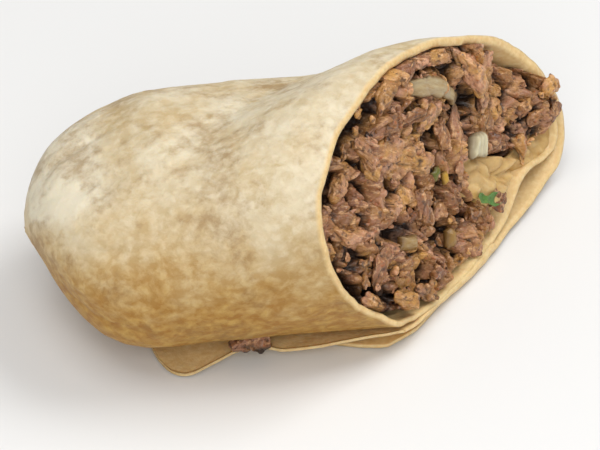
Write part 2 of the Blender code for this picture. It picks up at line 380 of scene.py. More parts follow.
def griddled_flour_tortilla():
    """Flour tortilla, pressed thin and griddled, then steamed soft by the filling.

    Matt, floury cream skin; grey-brown toasted marks in ragged clusters; patches
    that the fat has made golden and a little glossy, darker low on the roll as
    painted shade; paler as painted light on the flap and the dusted end; fine
    pale wrinkles.
    """
    material, tree, shader = new_material("griddled_flour_tortilla")
    place = add_node(tree, "TexCoord")["Object"]
    where = add_node(tree, "SeparateXYZ", {"Vector": place})
    spread = add_node(tree, "TexNoise", {
        "Vector": place, "Scale": per_mm(7), "Detail": 4.0, "Roughness": 0.6})
    warped = add_node(tree, "VectorMath", {
        0: spread["Color"], 1: (4.0 * MM,) * 3, 2: place}, operation="MULTIPLY_ADD")[0]

    # Flour left on the upper side of the folded end. It is also made paler there as painted light, where
    # the end faces away from the lamps.
    dusted_and_lit_end = add_node(tree, "MapRange", {
        "Value": where["X"], "From Min": -38 * MM, "From Max": -56 * MM, "To Max": 0.6})
    upper_side = add_node(tree, "Math", {0: where["Y"], 1: 0.5, 2: where["Z"]}, operation="MULTIPLY_ADD")
    raised = add_node(tree, "MapRange", {
        "Value": upper_side[0], "From Min": 14 * MM, "From Max": 32 * MM})
    dusting_and_light = add_node(tree, "Math", {0: dusted_and_lit_end[0], 1: raised[0]}, operation="MULTIPLY")

    # Floury cream skin over tan dough, mottled from 15 mm down to half a millimetre.
    broad = add_node(tree, "TexNoise", {
        "Vector": warped, "Scale": per_mm(15), "Detail": 4.0, "Roughness": 0.6})
    mottle = add_node(tree, "TexNoise", {
        "Vector": warped, "Scale": per_mm(4.5), "Detail": 6.0, "Roughness": 0.64})
    mottle_sum = add_node(tree, "Math", {0: broad["Fac"], 1: mottle["Fac"]}, operation="ADD")
    dusted_and_lit_sum = add_node(tree, "Math", {0: mottle_sum[0], 1: dusting_and_light[0]}, operation="ADD")
    mottle_share = add_node(tree, "MapRange", {
        "Value": dusted_and_lit_sum[0], "From Min": 0.76, "From Max": 1.26})
    dough = add_node(tree, "Mix", {
        "Factor": mottle_share[0], "A": "#c0a97e", "B": "#dfd4ba"}, data_type="RGBA")

    # Fat soaked through from the filling, strongest low on the roll and by the folded end. Low on the
    # roll the darker golden colour is also painted shade.
    low_soak_and_shade = add_node(tree, "MapRange", {
        "Value": where["Z"], "From Min": 43 * MM, "From Max": 10 * MM, "To Max": 0.92})
    # Near the floor the soak is halved, keeping the flap paler: painted light where the roll shades it.
    off_floor = add_node(tree, "MapRange", {
        "Value": where["Z"], "From Min": 4 * MM, "From Max": 10 * MM, "To Min": 0.5})
    near_fold = add_node(tree, "MapRange", {
        "Value": where["X"], "From Min": -8 * MM, "From Max": -34 * MM, "To Max": 0.08})
    soak_noise = add_node(tree, "TexNoise", {
        "Vector": warped, "Scale": per_mm(9), "Detail": 7.0, "Roughness": 0.66})
    soak_and_shade_sum = add_node(tree, "Math", {
        0: low_soak_and_shade[0], 1: off_floor[0], 2: soak_noise["Fac"]}, operation="MULTIPLY_ADD")
    soak_and_shade_total = add_node(tree, "Math", {0: soak_and_shade_sum[0], 1: near_fold[0]}, operation="ADD")
    soak_and_shade_left = add_node(tree, "Math", {0: soak_and_shade_total[0], 1: dusting_and_light[0]}, operation="SUBTRACT")
    soak_and_low_shade = add_node(tree, "MapRange", {"Value": soak_and_shade_left[0], "From Min": 0.48, "From Max": 1.22})
    golden_and_shaded = add_node(tree, "Mix", {
        "Factor": soak_and_low_shade[0], "A": dough["Result"], "B": "#b08b43"}, data_type="RGBA")

    # Toasted marks from the griddle: soft grey-brown clusters made of 3 mm freckles.
    cluster = add_node(tree, "TexNoise", {
        "Vector": warped, "Scale": per_mm(13), "Detail": 3.0, "Roughness": 0.55})
    freckle = add_node(tree, "TexNoise", {
        "Vector": place, "Scale": per_mm(2.8), "Detail": 5.0, "Roughness": 0.62})
    toast_sum = add_node(tree, "Math", {
        0: freckle["Fac"], 1: 0.6, 2: cluster["Fac"]}, operation="MULTIPLY_ADD")
    toast = add_node(tree, "MapRange", {
        "Value": toast_sum[0], "From Min": 0.75, "From Max": 1.02, "To Max": 0.8},
        interpolation_type="SMOOTHSTEP")
    toasted = add_node(tree, "Mix", {
        "Factor": toast[0], "A": golden_and_shaded["Result"], "B": "#a3875f"}, data_type="RGBA")

    # Pale flour-dusted blisters, one to three millimetres wide and drawn out on the slant.
    slant = add_node(tree, "Mapping", {
        "Vector": warped, "Rotation": (0.4, 0.5, 0.7), "Scale": (0.85, 1.0, 1.0)})
    streak = add_node(tree, "TexNoise", {
        "Vector": slant[0], "Scale": per_mm(2.4), "Detail": 5.0, "Roughness": 0.68})
    blister = add_node(tree, "TexVoronoi", {
        "Vector": slant[0], "Scale": per_mm(1.7), "Smoothness": 0.7, "Randomness": 1.0},
        feature="SMOOTH_F1")
    blister_top = add_node(tree, "Math", {
        0: blister["Distance"], 1: -0.3, 2: streak["Fac"]}, operation="MULTIPLY_ADD")
    pale = add_node(tree, "MapRange", {
        "Value": blister_top[0], "From Min": 0.24, "From Max": 0.54, "To Max": 0.6})
    wrinkled = add_node(tree, "Mix", {
        "Factor": pale[0], "A": toasted["Result"], "B": "#e6dabf"}, data_type="RGBA")
    # Painted shade together with the fat: the soaked low roll is multiplied darker and yellower.
    tinted_and_shaded = add_node(tree, "Mix", {
        "Factor": soak_and_low_shade[0], "A": wrinkled["Result"], "B": "#e2c57a"},
        data_type="RGBA", blend_type="MULTIPLY")

    # The cut edge: yellower crumb between two thin skins.
    cut = add_node(tree, "Attribute", attribute_name="cut_edge")["Fac"]
    crumb = add_node(tree, "TexNoise", {"Vector": place, "Scale": per_mm(1.1), "Detail": 3.0})
    crumb_colour = add_node(tree, "Mix", {
        "Factor": crumb["Fac"], "A": "#cea463", "B": "#f0d8a4"}, data_type="RGBA")
    # cut_edge also brings the pale crumb colour onto the flap and the ply under it, as painted light.
    colour = add_node(tree, "Mix", {
        "Factor": cut, "A": tinted_and_shaded["Result"], "B": crumb_colour["Result"]}, data_type="RGBA")

    roughness = add_node(tree, "MapRange", {"Value": soak_and_low_shade[0], "To Min": 0.68, "To Max": 0.45})
    relief = add_node(tree, "Math", {
        0: freckle["Fac"], 1: 0.6, 2: blister_top[0]}, operation="MULTIPLY_ADD")
    bump = add_node(tree, "Bump", {"Height": relief[0], "Strength": 0.6, "Distance": 0.4 * MM})
    fill_inputs(tree, shader, {
        "Base Color": colour["Result"],
        "Roughness": roughness[0],
        "IOR": 1.45,
        "Subsurface Weight": 0.18,
        "Subsurface Radius": (1.0, 0.62, 0.3),
        "Subsurface Scale": 1.6 * MM,
        "Normal": bump[0],
    })
    return material


def seared_chopped_beef():
    """Beef, chopped small and seared, then stirred in its own fat and juice.

    Grey-brown meat with short fibres, tan where it was cut through, near black
    in the seared dips, which also hold painted shade, and moist enough to glint.
    """
    material, tree, shader = new_material("seared_chopped_beef")
    grain = add_node(tree, "Attribute", attribute_name="grain_place")["Vector"]
    tone = add_node(tree, "Attribute", attribute_name="tone")["Fac"]
    dip_and_shade = add_node(tree, "Attribute", attribute_name="dip_and_shade")["Fac"]

    # Fibres some 0.7 mm thick and a few millimetres long, drawn in each piece's own frame,
    # which counts in millimetres.
    drawn_out = add_node(tree, "Mapping", {"Vector": grain, "Scale": (0.3, 1.0, 1.0)})
    fibre = add_node(tree, "TexNoise", {
        "Vector": drawn_out[0], "Scale": 1.3, "Detail": 4.0, "Roughness": 0.7})
    mottle = add_node(tree, "TexNoise", {
        "Vector": grain, "Scale": 0.5, "Detail": 5.0, "Roughness": 0.65})

    # Some pieces are pinkish grey where they were cut through, others yellow with fat.
    hue = add_node(tree, "TexNoise", {
        "Vector": grain, "Scale": 0.14, "Detail": 3.0, "Roughness": 0.6})
    hue_share = add_node(tree, "MapRange", {"Value": hue["Fac"], "From Min": 0.42, "From Max": 0.58})
    pale_meat = add_node(tree, "Mix", {
        "Factor": hue_share[0], "A": "#d8a07c", "B": "#d6a054"}, data_type="RGBA")
    colour = add_node(tree, "Mix", {
        "Factor": tone, "A": "#703f1b", "B": pale_meat["Result"]}, data_type="RGBA")

    # Over that, one on another: where each colour starts, where it is strongest, how strong.
    # The specks are about a millimetre across.
    speck = add_node(tree, "TexNoise", {
        "Vector": grain, "Scale": 0.9, "Detail": 2.0, "Roughness": 0.5})
    for source, start, full, strength, over in (
        (mottle["Fac"], 0.44, 0.64, 0.58, "#8c5223"),   # juice-stained mottling
        (fibre["Fac"], 0.52, 0.66, 0.7, "#efbc88"),     # pale fibres
        (speck["Fac"], 0.40, 0.30, 0.75, "#4a2a14"),    # seared specks
        (speck["Fac"], 0.66, 0.70, 0.7, "#b0602c"),     # the odd bit of red pepper fat
        # The last layer is seared colour and painted shade together: crevices, sunken places and buried
        # sides go near black.
        (dip_and_shade, 0.06, 0.8, 0.97, "#261206"),              # near black in the dips
    ):
        share = add_node(tree, "MapRange", {
            "Value": source, "From Min": start, "From Max": full, "To Max": strength})
        colour = add_node(tree, "Mix", {
            "Factor": share[0], "A": colour["Result"], "B": over}, data_type="RGBA")

    roughness = add_node(tree, "MapRange", {
        "Value": mottle["Fac"], "From Min": 0.3, "From Max": 0.7, "To Min": 0.24, "To Max": 0.46})
    relief = add_node(tree, "Math", {0: fibre["Fac"], 1: speck["Fac"]}, operation="ADD")
    bump = add_node(tree, "Bump", {"Height": relief[0], "Strength": 0.9, "Distance": 0.7 * MM})
    fill_inputs(tree, shader, {
        "Base Color": colour["Result"],
        "Roughness": roughness[0],
        "IOR": 1.45,
        "Subsurface Weight": 0.06,
        "Subsurface Radius": (1.0, 0.45, 0.25),
        "Subsurface Scale": 0.8 * MM,
        "Coat Weight": 0.42,
        "Coat Roughness": 0.22,
        "Normal": bump[0],
    })
    return material


def simple_food(name, low, high, size, roughness, subsurface):
    """A material whose colour drifts between two hues over so many millimetres."""
    material, tree, shader = new_material(name)
    grain = add_node(tree, "Attribute", attribute_name="grain_place")["Vector"]
    dip_and_shade = add_node(tree, "Attribute", attribute_name="dip_and_shade")["Fac"]
    tone = add_node(tree, "Attribute", attribute_name="tone")["Fac"]
    drawn_out = add_node(tree, "Mapping", {"Vector": grain, "Scale": (0.3, 1.0, 1.0)})
    drift = add_node(tree, "TexNoise", {
        "Vector": drawn_out[0], "Scale": 1.0 / size, "Detail": 5.0, "Roughness": 0.75})
    toned = add_node(tree, "Math", {0: drift["Fac"], 1: tone}, operation="ADD")
    share = add_node(tree, "MapRange", {"Value": toned[0], "From Min": 0.35, "From Max": 1.25})
    mixed = add_node(tree, "Mix", {"Factor": share[0], "A": low, "B": high}, data_type="RGBA")
    # Painted shade: the dip attribute darkens the bits' edges, their rib grooves and the leaf's vein.
    dip_shade_share = add_node(tree, "MapRange", {"Value": dip_and_shade, "To Max": 0.55})
    colour = add_node(tree, "Mix", {
        "Factor": dip_shade_share[0], "A": mixed["Result"], "B": "#5a3d22"}, data_type="RGBA")
    bump = add_node(tree, "Bump", {"Height": drift["Fac"], "Strength": 0.5, "Distance": 0.3 * MM})
    fill_inputs(tree, shader, {
        "Base Color": colour["Result"],
        "Roughness": roughness,
        "IOR": 1.38,
        "Subsurface Weight": subsurface,
        "Subsurface Radius": (1.0, 0.9, 0.6),
        "Subsurface Scale": 1.2 * MM,
        "Normal": bump[0],
    })
    return material


def sweated_onion():
    """Onion cooked soft in the beef's juice: glassy, pale green to tan, with fine ribs."""
    return simple_food("sweated_onion", "#96743f", "#dcd6b6", 1.4, 0.25, 0.3)


def diced_pepper():
    """Green pepper, diced and cooked soft: olive to yellow, with a moist shine."""
    return simple_food("diced_pepper", "#63662a", "#b8903a", 2.4, 0.3, 0.3)


def chopped_coriander():
    """Coriander leaf, chopped and wilted: clear green, with painted shade along the vein."""
    return simple_food("chopped_coriander", "#2d5a22", "#749a4c", 1.6, 0.42, 0.25)


# ---------------------------------------------------------------- the tortilla

AROUND = 330                # points round the sheet, inner end to flap
FLAP_POINTS = 46            # of these, on the last stretch of the sole and the flap
ALONG = 128                 # stations from the cut to the folded tip
RIM_ROWS = 3
RIM_CROWN = 0.25            # how far the middle of the cut edge stands out
RIM_CRUMB = (0.04, 1.3, 8)  # height, size and seed of a layer of relief
RAGGED_CUT = ((0.5, 9.0, 6), (0.28, 2.5, 7))
RAGGED_ROWS = 6.0           # how many stations behind the cut it takes to fade out
TIP_FADE = 9.0              # the skin's relief grows from nothing over this length at the tip
SOLE_FADE = 5.0             # and over this height above the floor

# How much of the crumb shows, from none on the floured skin to 1 on the cut edge.
CRUMB_BY_RIM = 0.45
CRUMB_INSIDE = 0.85
# On the flap and on the ply under it the crumb colour is painted light: both lie in the roll's shade.
CRUMB_AND_LIGHT_ON_FLAP = 0.95
CRUMB_AND_LIGHT_UNDER_FLAP = 0.9


def flap_line(x, start_y, start_z, share):
    """y and z of the last stretch of the sheet at x, from the sole to its free edge."""
    edge_path = curve_through(FLAP_EDGE, 200)
    order = np.argsort(edge_path[:, 0])
    edge_y = np.interp(x, edge_path[order, 0], edge_path[order, 1])
    edge_z = np.interp(x, edge_path[order, 0], edge_path[order, 2])
    y = start_y + (edge_y - start_y) * share
    z = start_z * (1.0 - share) ** 2 + FLAP_SAG * 2 * share * (1.0 - share) + edge_z * share ** 2
    return y, z


def rolled_sheet_side(inward):
    """The tortilla's outer side as a grid of points, or its inner side where inward is 1."""
    profile = curve_through(ROLLED_SHEET, AROUND - FLAP_POINTS)
    along = np.gradient(profile[:, :2], axis=0)
    along /= np.linalg.norm(along, axis=1, keepdims=True)
    out = np.stack((-along[:, 1], along[:, 0]), axis=1)
    yz = profile[:, :2] - inward * out * profile[:, 3:4]
    inset = profile[:, 2] + inward * profile[:, 3]
    start = END_START + LAYER_SETBACK * inset
    cut_x = x_at_cut(yz[:, 0], yz[:, 1])
    to_tip = np.linspace(0.0, 1.0, ALONG)[:, None]
    x = cut_x + (start - cut_x) * to_tip
    y, z = in_the_roll(yz[:, 0], yz[:, 1], inset, x, start)
    rolled = np.stack((x, y, z), axis=-1)

    # The last stretch lies on the floor and ends in the free edge of the flap. At the
    # folded end it stays tucked under the roll.
    last_y, last_z = profile[-1, :2]
    corner_y, corner_z = FLAP_CORNER
    share = np.linspace(0.0, 1.0, FLAP_POINTS + 1)[1:]
    line_y = last_y + (corner_y - last_y) * share
    line_z = last_z * (1 - share) ** 2 + 2 * FLAP_SAG * share * (1 - share) + corner_z * share ** 2
    flap_cut_x = x_at_cut(line_y, line_z)
    inset = FLAP_TUCKED_INSET * soft_step(0.0, 0.6, share)
    start = END_START + LAYER_SETBACK * inset
    x = flap_cut_x + (start - flap_cut_x) * to_tip
    tucked_y = last_y + (FLAP_TUCKED_Y - last_y) * share
    under_y, under_z = in_the_roll(tucked_y, last_z + 2 * FLAP_SAG * share, inset, x, start)
    free_y, free_z = flap_line(x, last_y, rolled[:, -1, 2:3], share)
    comes_out = soft_step(*FLAP_COMES_OUT, x)
    thickness = FLAP_THICKNESS - FLAP_THINNING * share ** 3
    y = under_y + (free_y - under_y) * comes_out
    z = under_z + (free_z - under_z) * comes_out + inward * thickness
    return np.concatenate((rolled, np.stack((x, y, z), axis=-1)), axis=1)


def outward_normals(grid):
    """Unit normals of the outer side, rows along the roll and columns round it."""
    return unit(np.cross(np.gradient(grid, axis=1), np.gradient(grid, axis=0)))


# Relief of the skin, in millimetres.
SKIN_LUMPS = ((0.55, 17.0, 1), (0.28, 8.0, 2))
BLISTER_HEIGHT = 0.22
BLISTER_SIZE = 4.6
WRINKLE_HEIGHT = 0.16
WRINKLE_SPACING = 2.6
WRINKLE_SLANT = np.array(((0.9, 0.3, 0.2), (-0.3, 0.8, 0.5), (0.0, -0.5, 0.85)))
WRINKLE_STRETCH = np.array((0.22, 1.0, 1.0))


def crinkle(points):
    """How far the skin stands in or out: lumps of filling, blisters and wrinkles."""
    blisters = BLISTER_HEIGHT * np.maximum(lumpiness(points, BLISTER_SIZE, 3), 0.0) ** 1.5
    drawn = (points @ WRINKLE_SLANT.T) * WRINKLE_STRETCH
    wrinkles = WRINKLE_HEIGHT * (1.0 - 2.0 * np.abs(lumpiness(drawn, WRINKLE_SPACING, 5)))
    return layered(points, *SKIN_LUMPS) + blisters + wrinkles


def make_wrap(material):
    outer = folded_end(rolled_sheet_side(0.0))
    inner = folded_end(rolled_sheet_side(1.0))
    off_tip = soft_step(0.0, TIP_FADE, outer[..., 0])
    off_floor = soft_step(0.0, SOLE_FADE, outer[..., 2])
    moved = outward_normals(outer) * (crinkle(outer) * off_tip * off_floor)[..., None]
    outer = outer + moved
    inner = inner + moved
    outer[..., 2] = np.maximum(outer[..., 2], 0.0)

    rim = []
    for k in range(1, RIM_ROWS + 1):
        share = k / (RIM_ROWS + 1.0)
        row = outer[0] + (inner[0] - outer[0]) * share
        stands = RIM_CROWN * math.sin(math.pi * share) + layered(row, RIM_CRUMB)
        rim.append(row + CUT_NORMAL * stands[:, None])
    grid = np.concatenate((outer[::-1], rim, inner))
    behind_cut = np.concatenate((np.arange(ALONG)[::-1], np.zeros(RIM_ROWS), np.arange(ALONG)))
    ragged = CUT_NORMAL * layered(outer[0], *RAGGED_CUT)[:, None]
    grid = grid + ragged * np.clip(1.0 - behind_cut / RAGGED_ROWS, 0.0, 1.0)[:, None, None]

    # The inner side has less flour on it and shows the crumb. The flap gets the pale crumb colour as
    # painted light, since it lies in the roll's shade.
    cut_edge = np.zeros(grid.shape[:2])
    cut_edge[ALONG - 1] = CRUMB_BY_RIM
    cut_edge[ALONG:ALONG + RIM_ROWS] = 1.0
    cut_edge[ALONG + RIM_ROWS:] = CRUMB_INSIDE
    flap = slice(-FLAP_POINTS, None)
    out_on_flap = soft_step(22.0, 32.0, grid[:, flap, 0])
    cut_edge[:, flap] = np.maximum(cut_edge[:, flap], CRUMB_AND_LIGHT_ON_FLAP * out_on_flap)

    rows, columns = grid.shape[:2]
    faces = grid_faces(rows, columns)
    # Join the sides along the inner end and along the flap's edge.
    for column in (0, columns - 1):
        outside = [(ALONG - 1 - r) * columns + column for r in range(ALONG)]
        inside = [(ALONG + RIM_ROWS + r) * columns + column for r in range(ALONG)]
        strips = [(outside[r], outside[r + 1], inside[r + 1], inside[r]) for r in range(ALONG - 1)]
        strips.append(tuple((ALONG + RIM_ROWS - k) * columns + column for k in range(RIM_ROWS + 2)))
        faces += strips if column == 0 else [tuple(reversed(strip)) for strip in strips]
    return mesh_piece("tortilla_wrap", grid.reshape(-1, 3), faces, material,
                      {"cut_edge": cut_edge.ravel()})


# The crumpled inner end: where its lower and upper edges run in the cut, y and z.
CRUMPLE_LOW = [
    (9.4, 5.9), (13.0, 7.8), (16.8, 9.8), (20.6, 10.1), (24.4, 8.7), (28.2, 9.3), (31.2, 12.6),
]
CRUMPLE_HIGH = [
    (5.0, 15.6), (8.6, 21.6), (13.6, 18.8), (19.0, 13.8), (24.8, 13.6), (29.0, 14.2), (32.2, 15.8),
]
CRUMPLE_COLUMNS = 110
CRUMPLE_ROWS = 56
CRUMPLE_THICKNESS = 1.1
CRUMPLE_FOLD_SIZE = 4.2
CRUMPLE_FOLD_STRETCH = np.array((0.8, 1.2, 1.0))
CRUMPLE_PUFF_SIZE = 2.0


def make_crumple(material):
    """The inner end of the sheet, pushed up into soft folds beside the beef."""
    low = curve_through(CRUMPLE_LOW, CRUMPLE_COLUMNS)
    high = curve_through(CRUMPLE_HIGH, CRUMPLE_COLUMNS)
    share = np.linspace(0.0, 1.0, CRUMPLE_ROWS)[:, None]
    y = low[:, 0] + (high[:, 0] - low[:, 0]) * share
    z = low[:, 1] + (high[:, 1] - low[:, 1]) * share
    spot = np.stack((y, z, np.zeros_like(y)), axis=-1)
    folds = creased(spot * CRUMPLE_FOLD_STRETCH, CRUMPLE_FOLD_SIZE, 61)
    puffs = creased(spot, CRUMPLE_PUFF_SIZE, 62, 0.9)
    # Up to y 15 the end is pushed up into folds 3 mm high, with its edges turned in.
    # Beyond y 22 it is nearly flat, and sinks towards its upper edge.
    pushed_up = 1.0 - soft_step(15.0, 22.0, y)
    depth = (0.9 + (1.0 - pushed_up) * (0.1 + 2.2 * share ** 1.3) + 0.9 * pushed_up
             - (0.9 + 2.0 * pushed_up) * folds - (0.6 + 0.6 * pushed_up) * puffs)
    edge = np.minimum(share, 1.0 - share) * 6.0
    depth = depth + 1.6 * pushed_up * np.exp(-edge)
    front = face_place(y, z, depth)
    back = front - CUT_NORMAL * CRUMPLE_THICKNESS
    return closed_sheet("tortilla_inner_fold", front, back, material,
                        {"cut_edge": np.tile(0.3 + 0.45 * puffs.ravel(), 2)})


# The second ply: its free edge, its edge in the cut, and the corner under the roll.
PLY_FREE_EDGE = [(57.0, -16.0, 0.1), (60.5, -19.2, 0.15), (65.0, -21.2, 0.4), (69.0, -22.6, 0.9),
                 (71.4, -23.2, 1.3)]
PLY_CUT_EDGE = [(97.5, 6.0, 0.05), (90.6, -3.5, 0.05), (83.8, -11.5, 0.15), (79.6, -16.8, 0.6),
                (77.2, -19.6, 1.2), (71.4, -23.2, 1.3)]
PLY_CORNER = np.array((57.0, 6.0, 0.05))
PLY_COLUMNS = 90
PLY_ROWS = 60


def make_under_flap(material):
    """A second ply of the sheet that lies on the floor under the flap, cut with the roll."""
    free_edge = curve_through(PLY_FREE_EDGE, PLY_ROWS)
    cut_edge = curve_through(PLY_CUT_EDGE, PLY_ROWS)
    across = np.linspace(0.0, 1.0, PLY_ROWS)
    shares = np.linspace(0.0, 1.0, PLY_COLUMNS)
    s, t = shares[:, None], across[:, None, None]
    # A patch stretched between its four edges.
    far = np.stack([np.interp(shares, across, values) for values in free_edge.T], axis=1)
    near = PLY_CORNER + (cut_edge[0] - PLY_CORNER) * s
    start = PLY_CORNER + (free_edge[0] - PLY_CORNER) * t
    between = start + (cut_edge[:, None] - start) * s + near + (far - near) * t
    corners = ((1 - t) * ((1 - s) * PLY_CORNER + s * cut_edge[0])
               + t * ((1 - s) * free_edge[0] + s * free_edge[-1]))
    lower = between - corners
    wave = 0.25 * np.maximum(lumpiness(lower, 6.0, 71), 0.0) + 0.08 * np.abs(lumpiness(lower, 2.0, 72))
    lower[..., 2] = np.maximum(lower[..., 2] + wave, 0.02)
    upper = lower + np.array((0.0, 0.0, 1.0)) * (1.0 - 0.25 * t)
    # The ply takes the pale crumb colour nearly all over, as painted light in the flap's shade.
    by_edge = np.maximum(soft_step(0.97, 1.0, across)[:, None], shares ** 60)
    return closed_sheet("tortilla_under_flap", lower, upper, material,
                        {"cut_edge": np.tile(np.maximum(by_edge, CRUMB_AND_LIGHT_UNDER_FLAP).ravel(), 2)})


# ---------------------------------------------------------------- the beef


def ball(levels):
    """Directions and faces of a ball whose points crowd towards +Z, the side that shows."""
    mesh = bmesh.new()
    bmesh.ops.create_icosphere(mesh, subdivisions=levels, radius=1.0)
    points = np.array([v.co for v in mesh.verts])
    faces = np.array([[v.index for v in f.verts] for f in mesh.faces])
    mesh.free()
    points /= np.linalg.norm(points, axis=1, keepdims=True)
    polar = np.arccos(np.clip(points[:, 2], -1.0, 1.0)) / math.pi
    polar = math.pi * polar ** 1.35
    flat = unit(points[:, :2])
    return np.column_stack((flat * np.sin(polar)[:, None], np.cos(polar))), faces


BALLS = {levels: ball(levels) for levels in (3, 4, 5)}


def point_normals(points, faces):
    corners = points[faces]
    face_normals = np.cross(corners[:, 1] - corners[:, 0], corners[:, 2] - corners[:, 0])
    normals = np.zeros_like(points)
    for k in range(3):
        np.add.at(normals, faces[:, k], face_normals)
    return unit(normals, 1e-12)


def turned(points, turn, tip):
    """Points tipped about their y axis and then turned about z."""
    c, s = math.cos(tip), math.sin(tip)
    tipped = points @ np.array(((c, 0, s), (0, 1, 0), (-s, 0, c)))
    c, s = math.cos(turn), math.sin(turn)
    return tipped @ np.array(((c, s, 0), (-s, c, 0), (0, 0, 1)))


UNCUT_RADIUS = 1.3
NEAREST_CUT = 0.52
FARTHEST_CUT = 0.95
CUT_SHARPNESS = 20
FIBRE_STRETCH = np.array((0.4, 1.0, 1.0))
STRAND_SIZE = 1.7
GRANULE_SIZE = 1.3
GRIT_SIZE = 0.7


def chopped_lump(rng, halves, levels, turn=0.0, tip=0.0, cuts=9, bend=0.0, torn=0.3, grainy=1.0):
    """A chopped lump in the face's frame: x across, y up, z out of the cut.

    Knife cuts leave it angular; torn edges and granules of meat make it rough.
    """
    directions, faces = BALLS[levels]
    radius = np.full(len(directions), UNCUT_RADIUS)
    for _ in range(cuts):
        side = rng.normal(size=3)
        side /= np.linalg.norm(side)
        flat = rng.uniform(NEAREST_CUT, FARTHEST_CUT) / np.maximum(directions @ side, 0.2)
        kept = np.exp(-CUT_SHARPNESS * radius) + np.exp(-CUT_SHARPNESS * np.minimum(flat, 4.0))
        radius = -np.log(kept) / CUT_SHARPNESS
    halves = np.array(halves)
    size = float(halves[1:].mean())
    local = directions * radius[:, None] * halves
    local[:, 1] += bend * local[:, 0] ** 2
    seed = rng.uniform(0, 60)
    warp = np.stack([lumpiness(local, 1.3 * size, seed + k) for k in (0.0, 7.1, 13.7)], axis=1)
    local = local + torn * size * warp
    placed = turned(local, turn, tip)
    strands = creased(local * FIBRE_STRETCH, STRAND_SIZE, seed + 21.0, 0.7)
    granules = creased(local, GRANULE_SIZE, seed + 31.0)
    grit = creased(local, GRIT_SIZE, seed + 41.0)
    lift = 0.65 * (strands - 0.45) + 0.5 * (granules - 0.4) + 0.22 * (grit - 0.4)
    lift = lift * min(1.0, 0.3 + 0.3 * size) * grainy
    placed = placed + point_normals(placed, faces) * lift[:, None]
    # Painted shade: darker in the valleys between the granules and on the side sunk into the face.
    dips_and_shade = np.clip(0.8 - 1.1 * strands - 0.8 * granules - 0.3 * grit, 0.0, 1.0) * grainy
    buried_side_shade = soft_step(0.15, -0.75, placed[:, 2] / halves[2])
    return placed, local, faces, np.maximum(dips_and_shade, buried_side_shade)


class Heap:
    """Gathers the lumps of one kind into one mesh."""

    def __init__(self):
        self.points, self.faces, self.grain, self.tone, self.dip_and_shade = [], [], [], [], []
        self.count = 0

    def add(self, rng, centre, lump, tone, axes=FACE_AXES, free=False):
        placed, local, faces, dips_and_shade = lump
        points = placed @ axes + centre
        self.points.append(points if free else kept_inside(points))
        self.faces.append(faces + self.count)
        self.grain.append(local + rng.uniform(0, 90, size=3))
        self.tone.append(np.full(len(local), tone))
        self.dip_and_shade.append(dips_and_shade)
        self.count += len(local)

    def piece(self, name, material):
        return mesh_piece(name, np.concatenate(self.points), np.concatenate(self.faces), material, {
            "grain_place": np.concatenate(self.grain),
            "tone": np.concatenate(self.tone),
            "dip_and_shade": np.concatenate(self.dip_and_shade),
        })


# The edge of the beef in the cut, and the part of it where the crumpled inner
# end of the tortilla lies in front of the beef.
FILLING_EDGE = [
    (-22.8, 9.2), (-28.6, 17.6), (-30.4, 29.2), (-28.7, 38.0), (-24.3, 44.6), (-17.9, 49.2),
    (-10.8, 51.9), (-3.2, 52.9), (3.8, 52.5), (11.2, 49.8), (17.8, 45.5), (23.5, 40.2),
    (27.8, 35.0), (31.2, 28.0), (32.8, 20.5), (32.2, 15.2), (28.6, 9.6), (24.4, 8.7),
    (20.6, 10.0), (16.8, 9.6), (13.2, 7.5), (9.4, 5.7), (4.0, 4.6), (-3.0, 4.0),
    (-10.0, 4.2), (-17.0, 6.1), (-22.8, 9.2),
]
FOLD_AREA = [
    (34.0, 14.5), (29.0, 12.9), (25.5, 12.0), (21.5, 12.2), (18.6, 15.2), (15.0, 18.6),
    (10.4, 20.6), (6.6, 17.6), (7.6, 12.6), (10.0, 8.5), (10.0, 2.0), (24.0, 2.0),
    (34.0, 4.0), (34.0, 14.5),
]
WALL_CLEARANCE = 0.25
FARTHEST_OVERHANG = 1.6     # how far beef may stand out over the far rim and still lean on it


def depth_inside(y, z, outline):
    """How far each y, z lies inside a closed outline; below zero outside."""
    y, z = np.asarray(y, float), np.asarray(z, float)
    outline = np.array(outline)
    a, b = outline[:-1], outline[1:]
    edge = b - a
    places = np.stack((y, z), axis=-1)[..., None, :]
    crossing = (a[:, 1] > z[..., None]) != (b[:, 1] > z[..., None])
    rise = np.where(np.abs(edge[:, 1]) < 1e-9, 1e-9, edge[:, 1])
    at = a[:, 0] + (z[..., None] - a[:, 1]) * edge[:, 0] / rise
    inside = np.sum(crossing & (y[..., None] < at), axis=-1) % 2 == 1
    share = np.clip(np.sum((places - a) * edge, axis=-1) / np.sum(edge * edge, axis=1), 0.0, 1.0)
    nearest = np.min(np.linalg.norm(a + edge * share[..., None] - places, axis=-1), axis=-1)
    return np.where(inside, nearest, -nearest)


def room_for(y, z, margin):
    """True where a lump can sit: inside the filling, clear of the crumpled fold."""
    return depth_inside(y, z, FILLING_EDGE) > margin and depth_inside(y, z, FOLD_AREA) < -0.7 * margin


def kept_inside(points):
    """Presses the parts of a lump that would cut into the tortilla back off it."""
    y, z = points[:, 1], points[:, 2]
    over = np.clip((points - CUT_POINT) @ CUT_NORMAL - 0.3, 0.0, FARTHEST_OVERHANG)
    overhang = 1.3 * over * soft_step(24.0, 31.0, y) * soft_step(10.0, 14.0, z)
    short = WALL_CLEARANCE - overhang - depth_inside(y, z, FILLING_EDGE)
    if short.max() <= 0:
        return points
    step = 0.2
    slope_y = depth_inside(y + step, z, FILLING_EDGE) - depth_inside(y - step, z, FILLING_EDGE)
    slope_z = depth_inside(y, z + step, FILLING_EDGE) - depth_inside(y, z - step, FILLING_EDGE)
    slope = unit(np.stack((np.zeros_like(y), slope_y, slope_z), axis=1))
    return points + slope * np.maximum(short, 0.0)[:, None]


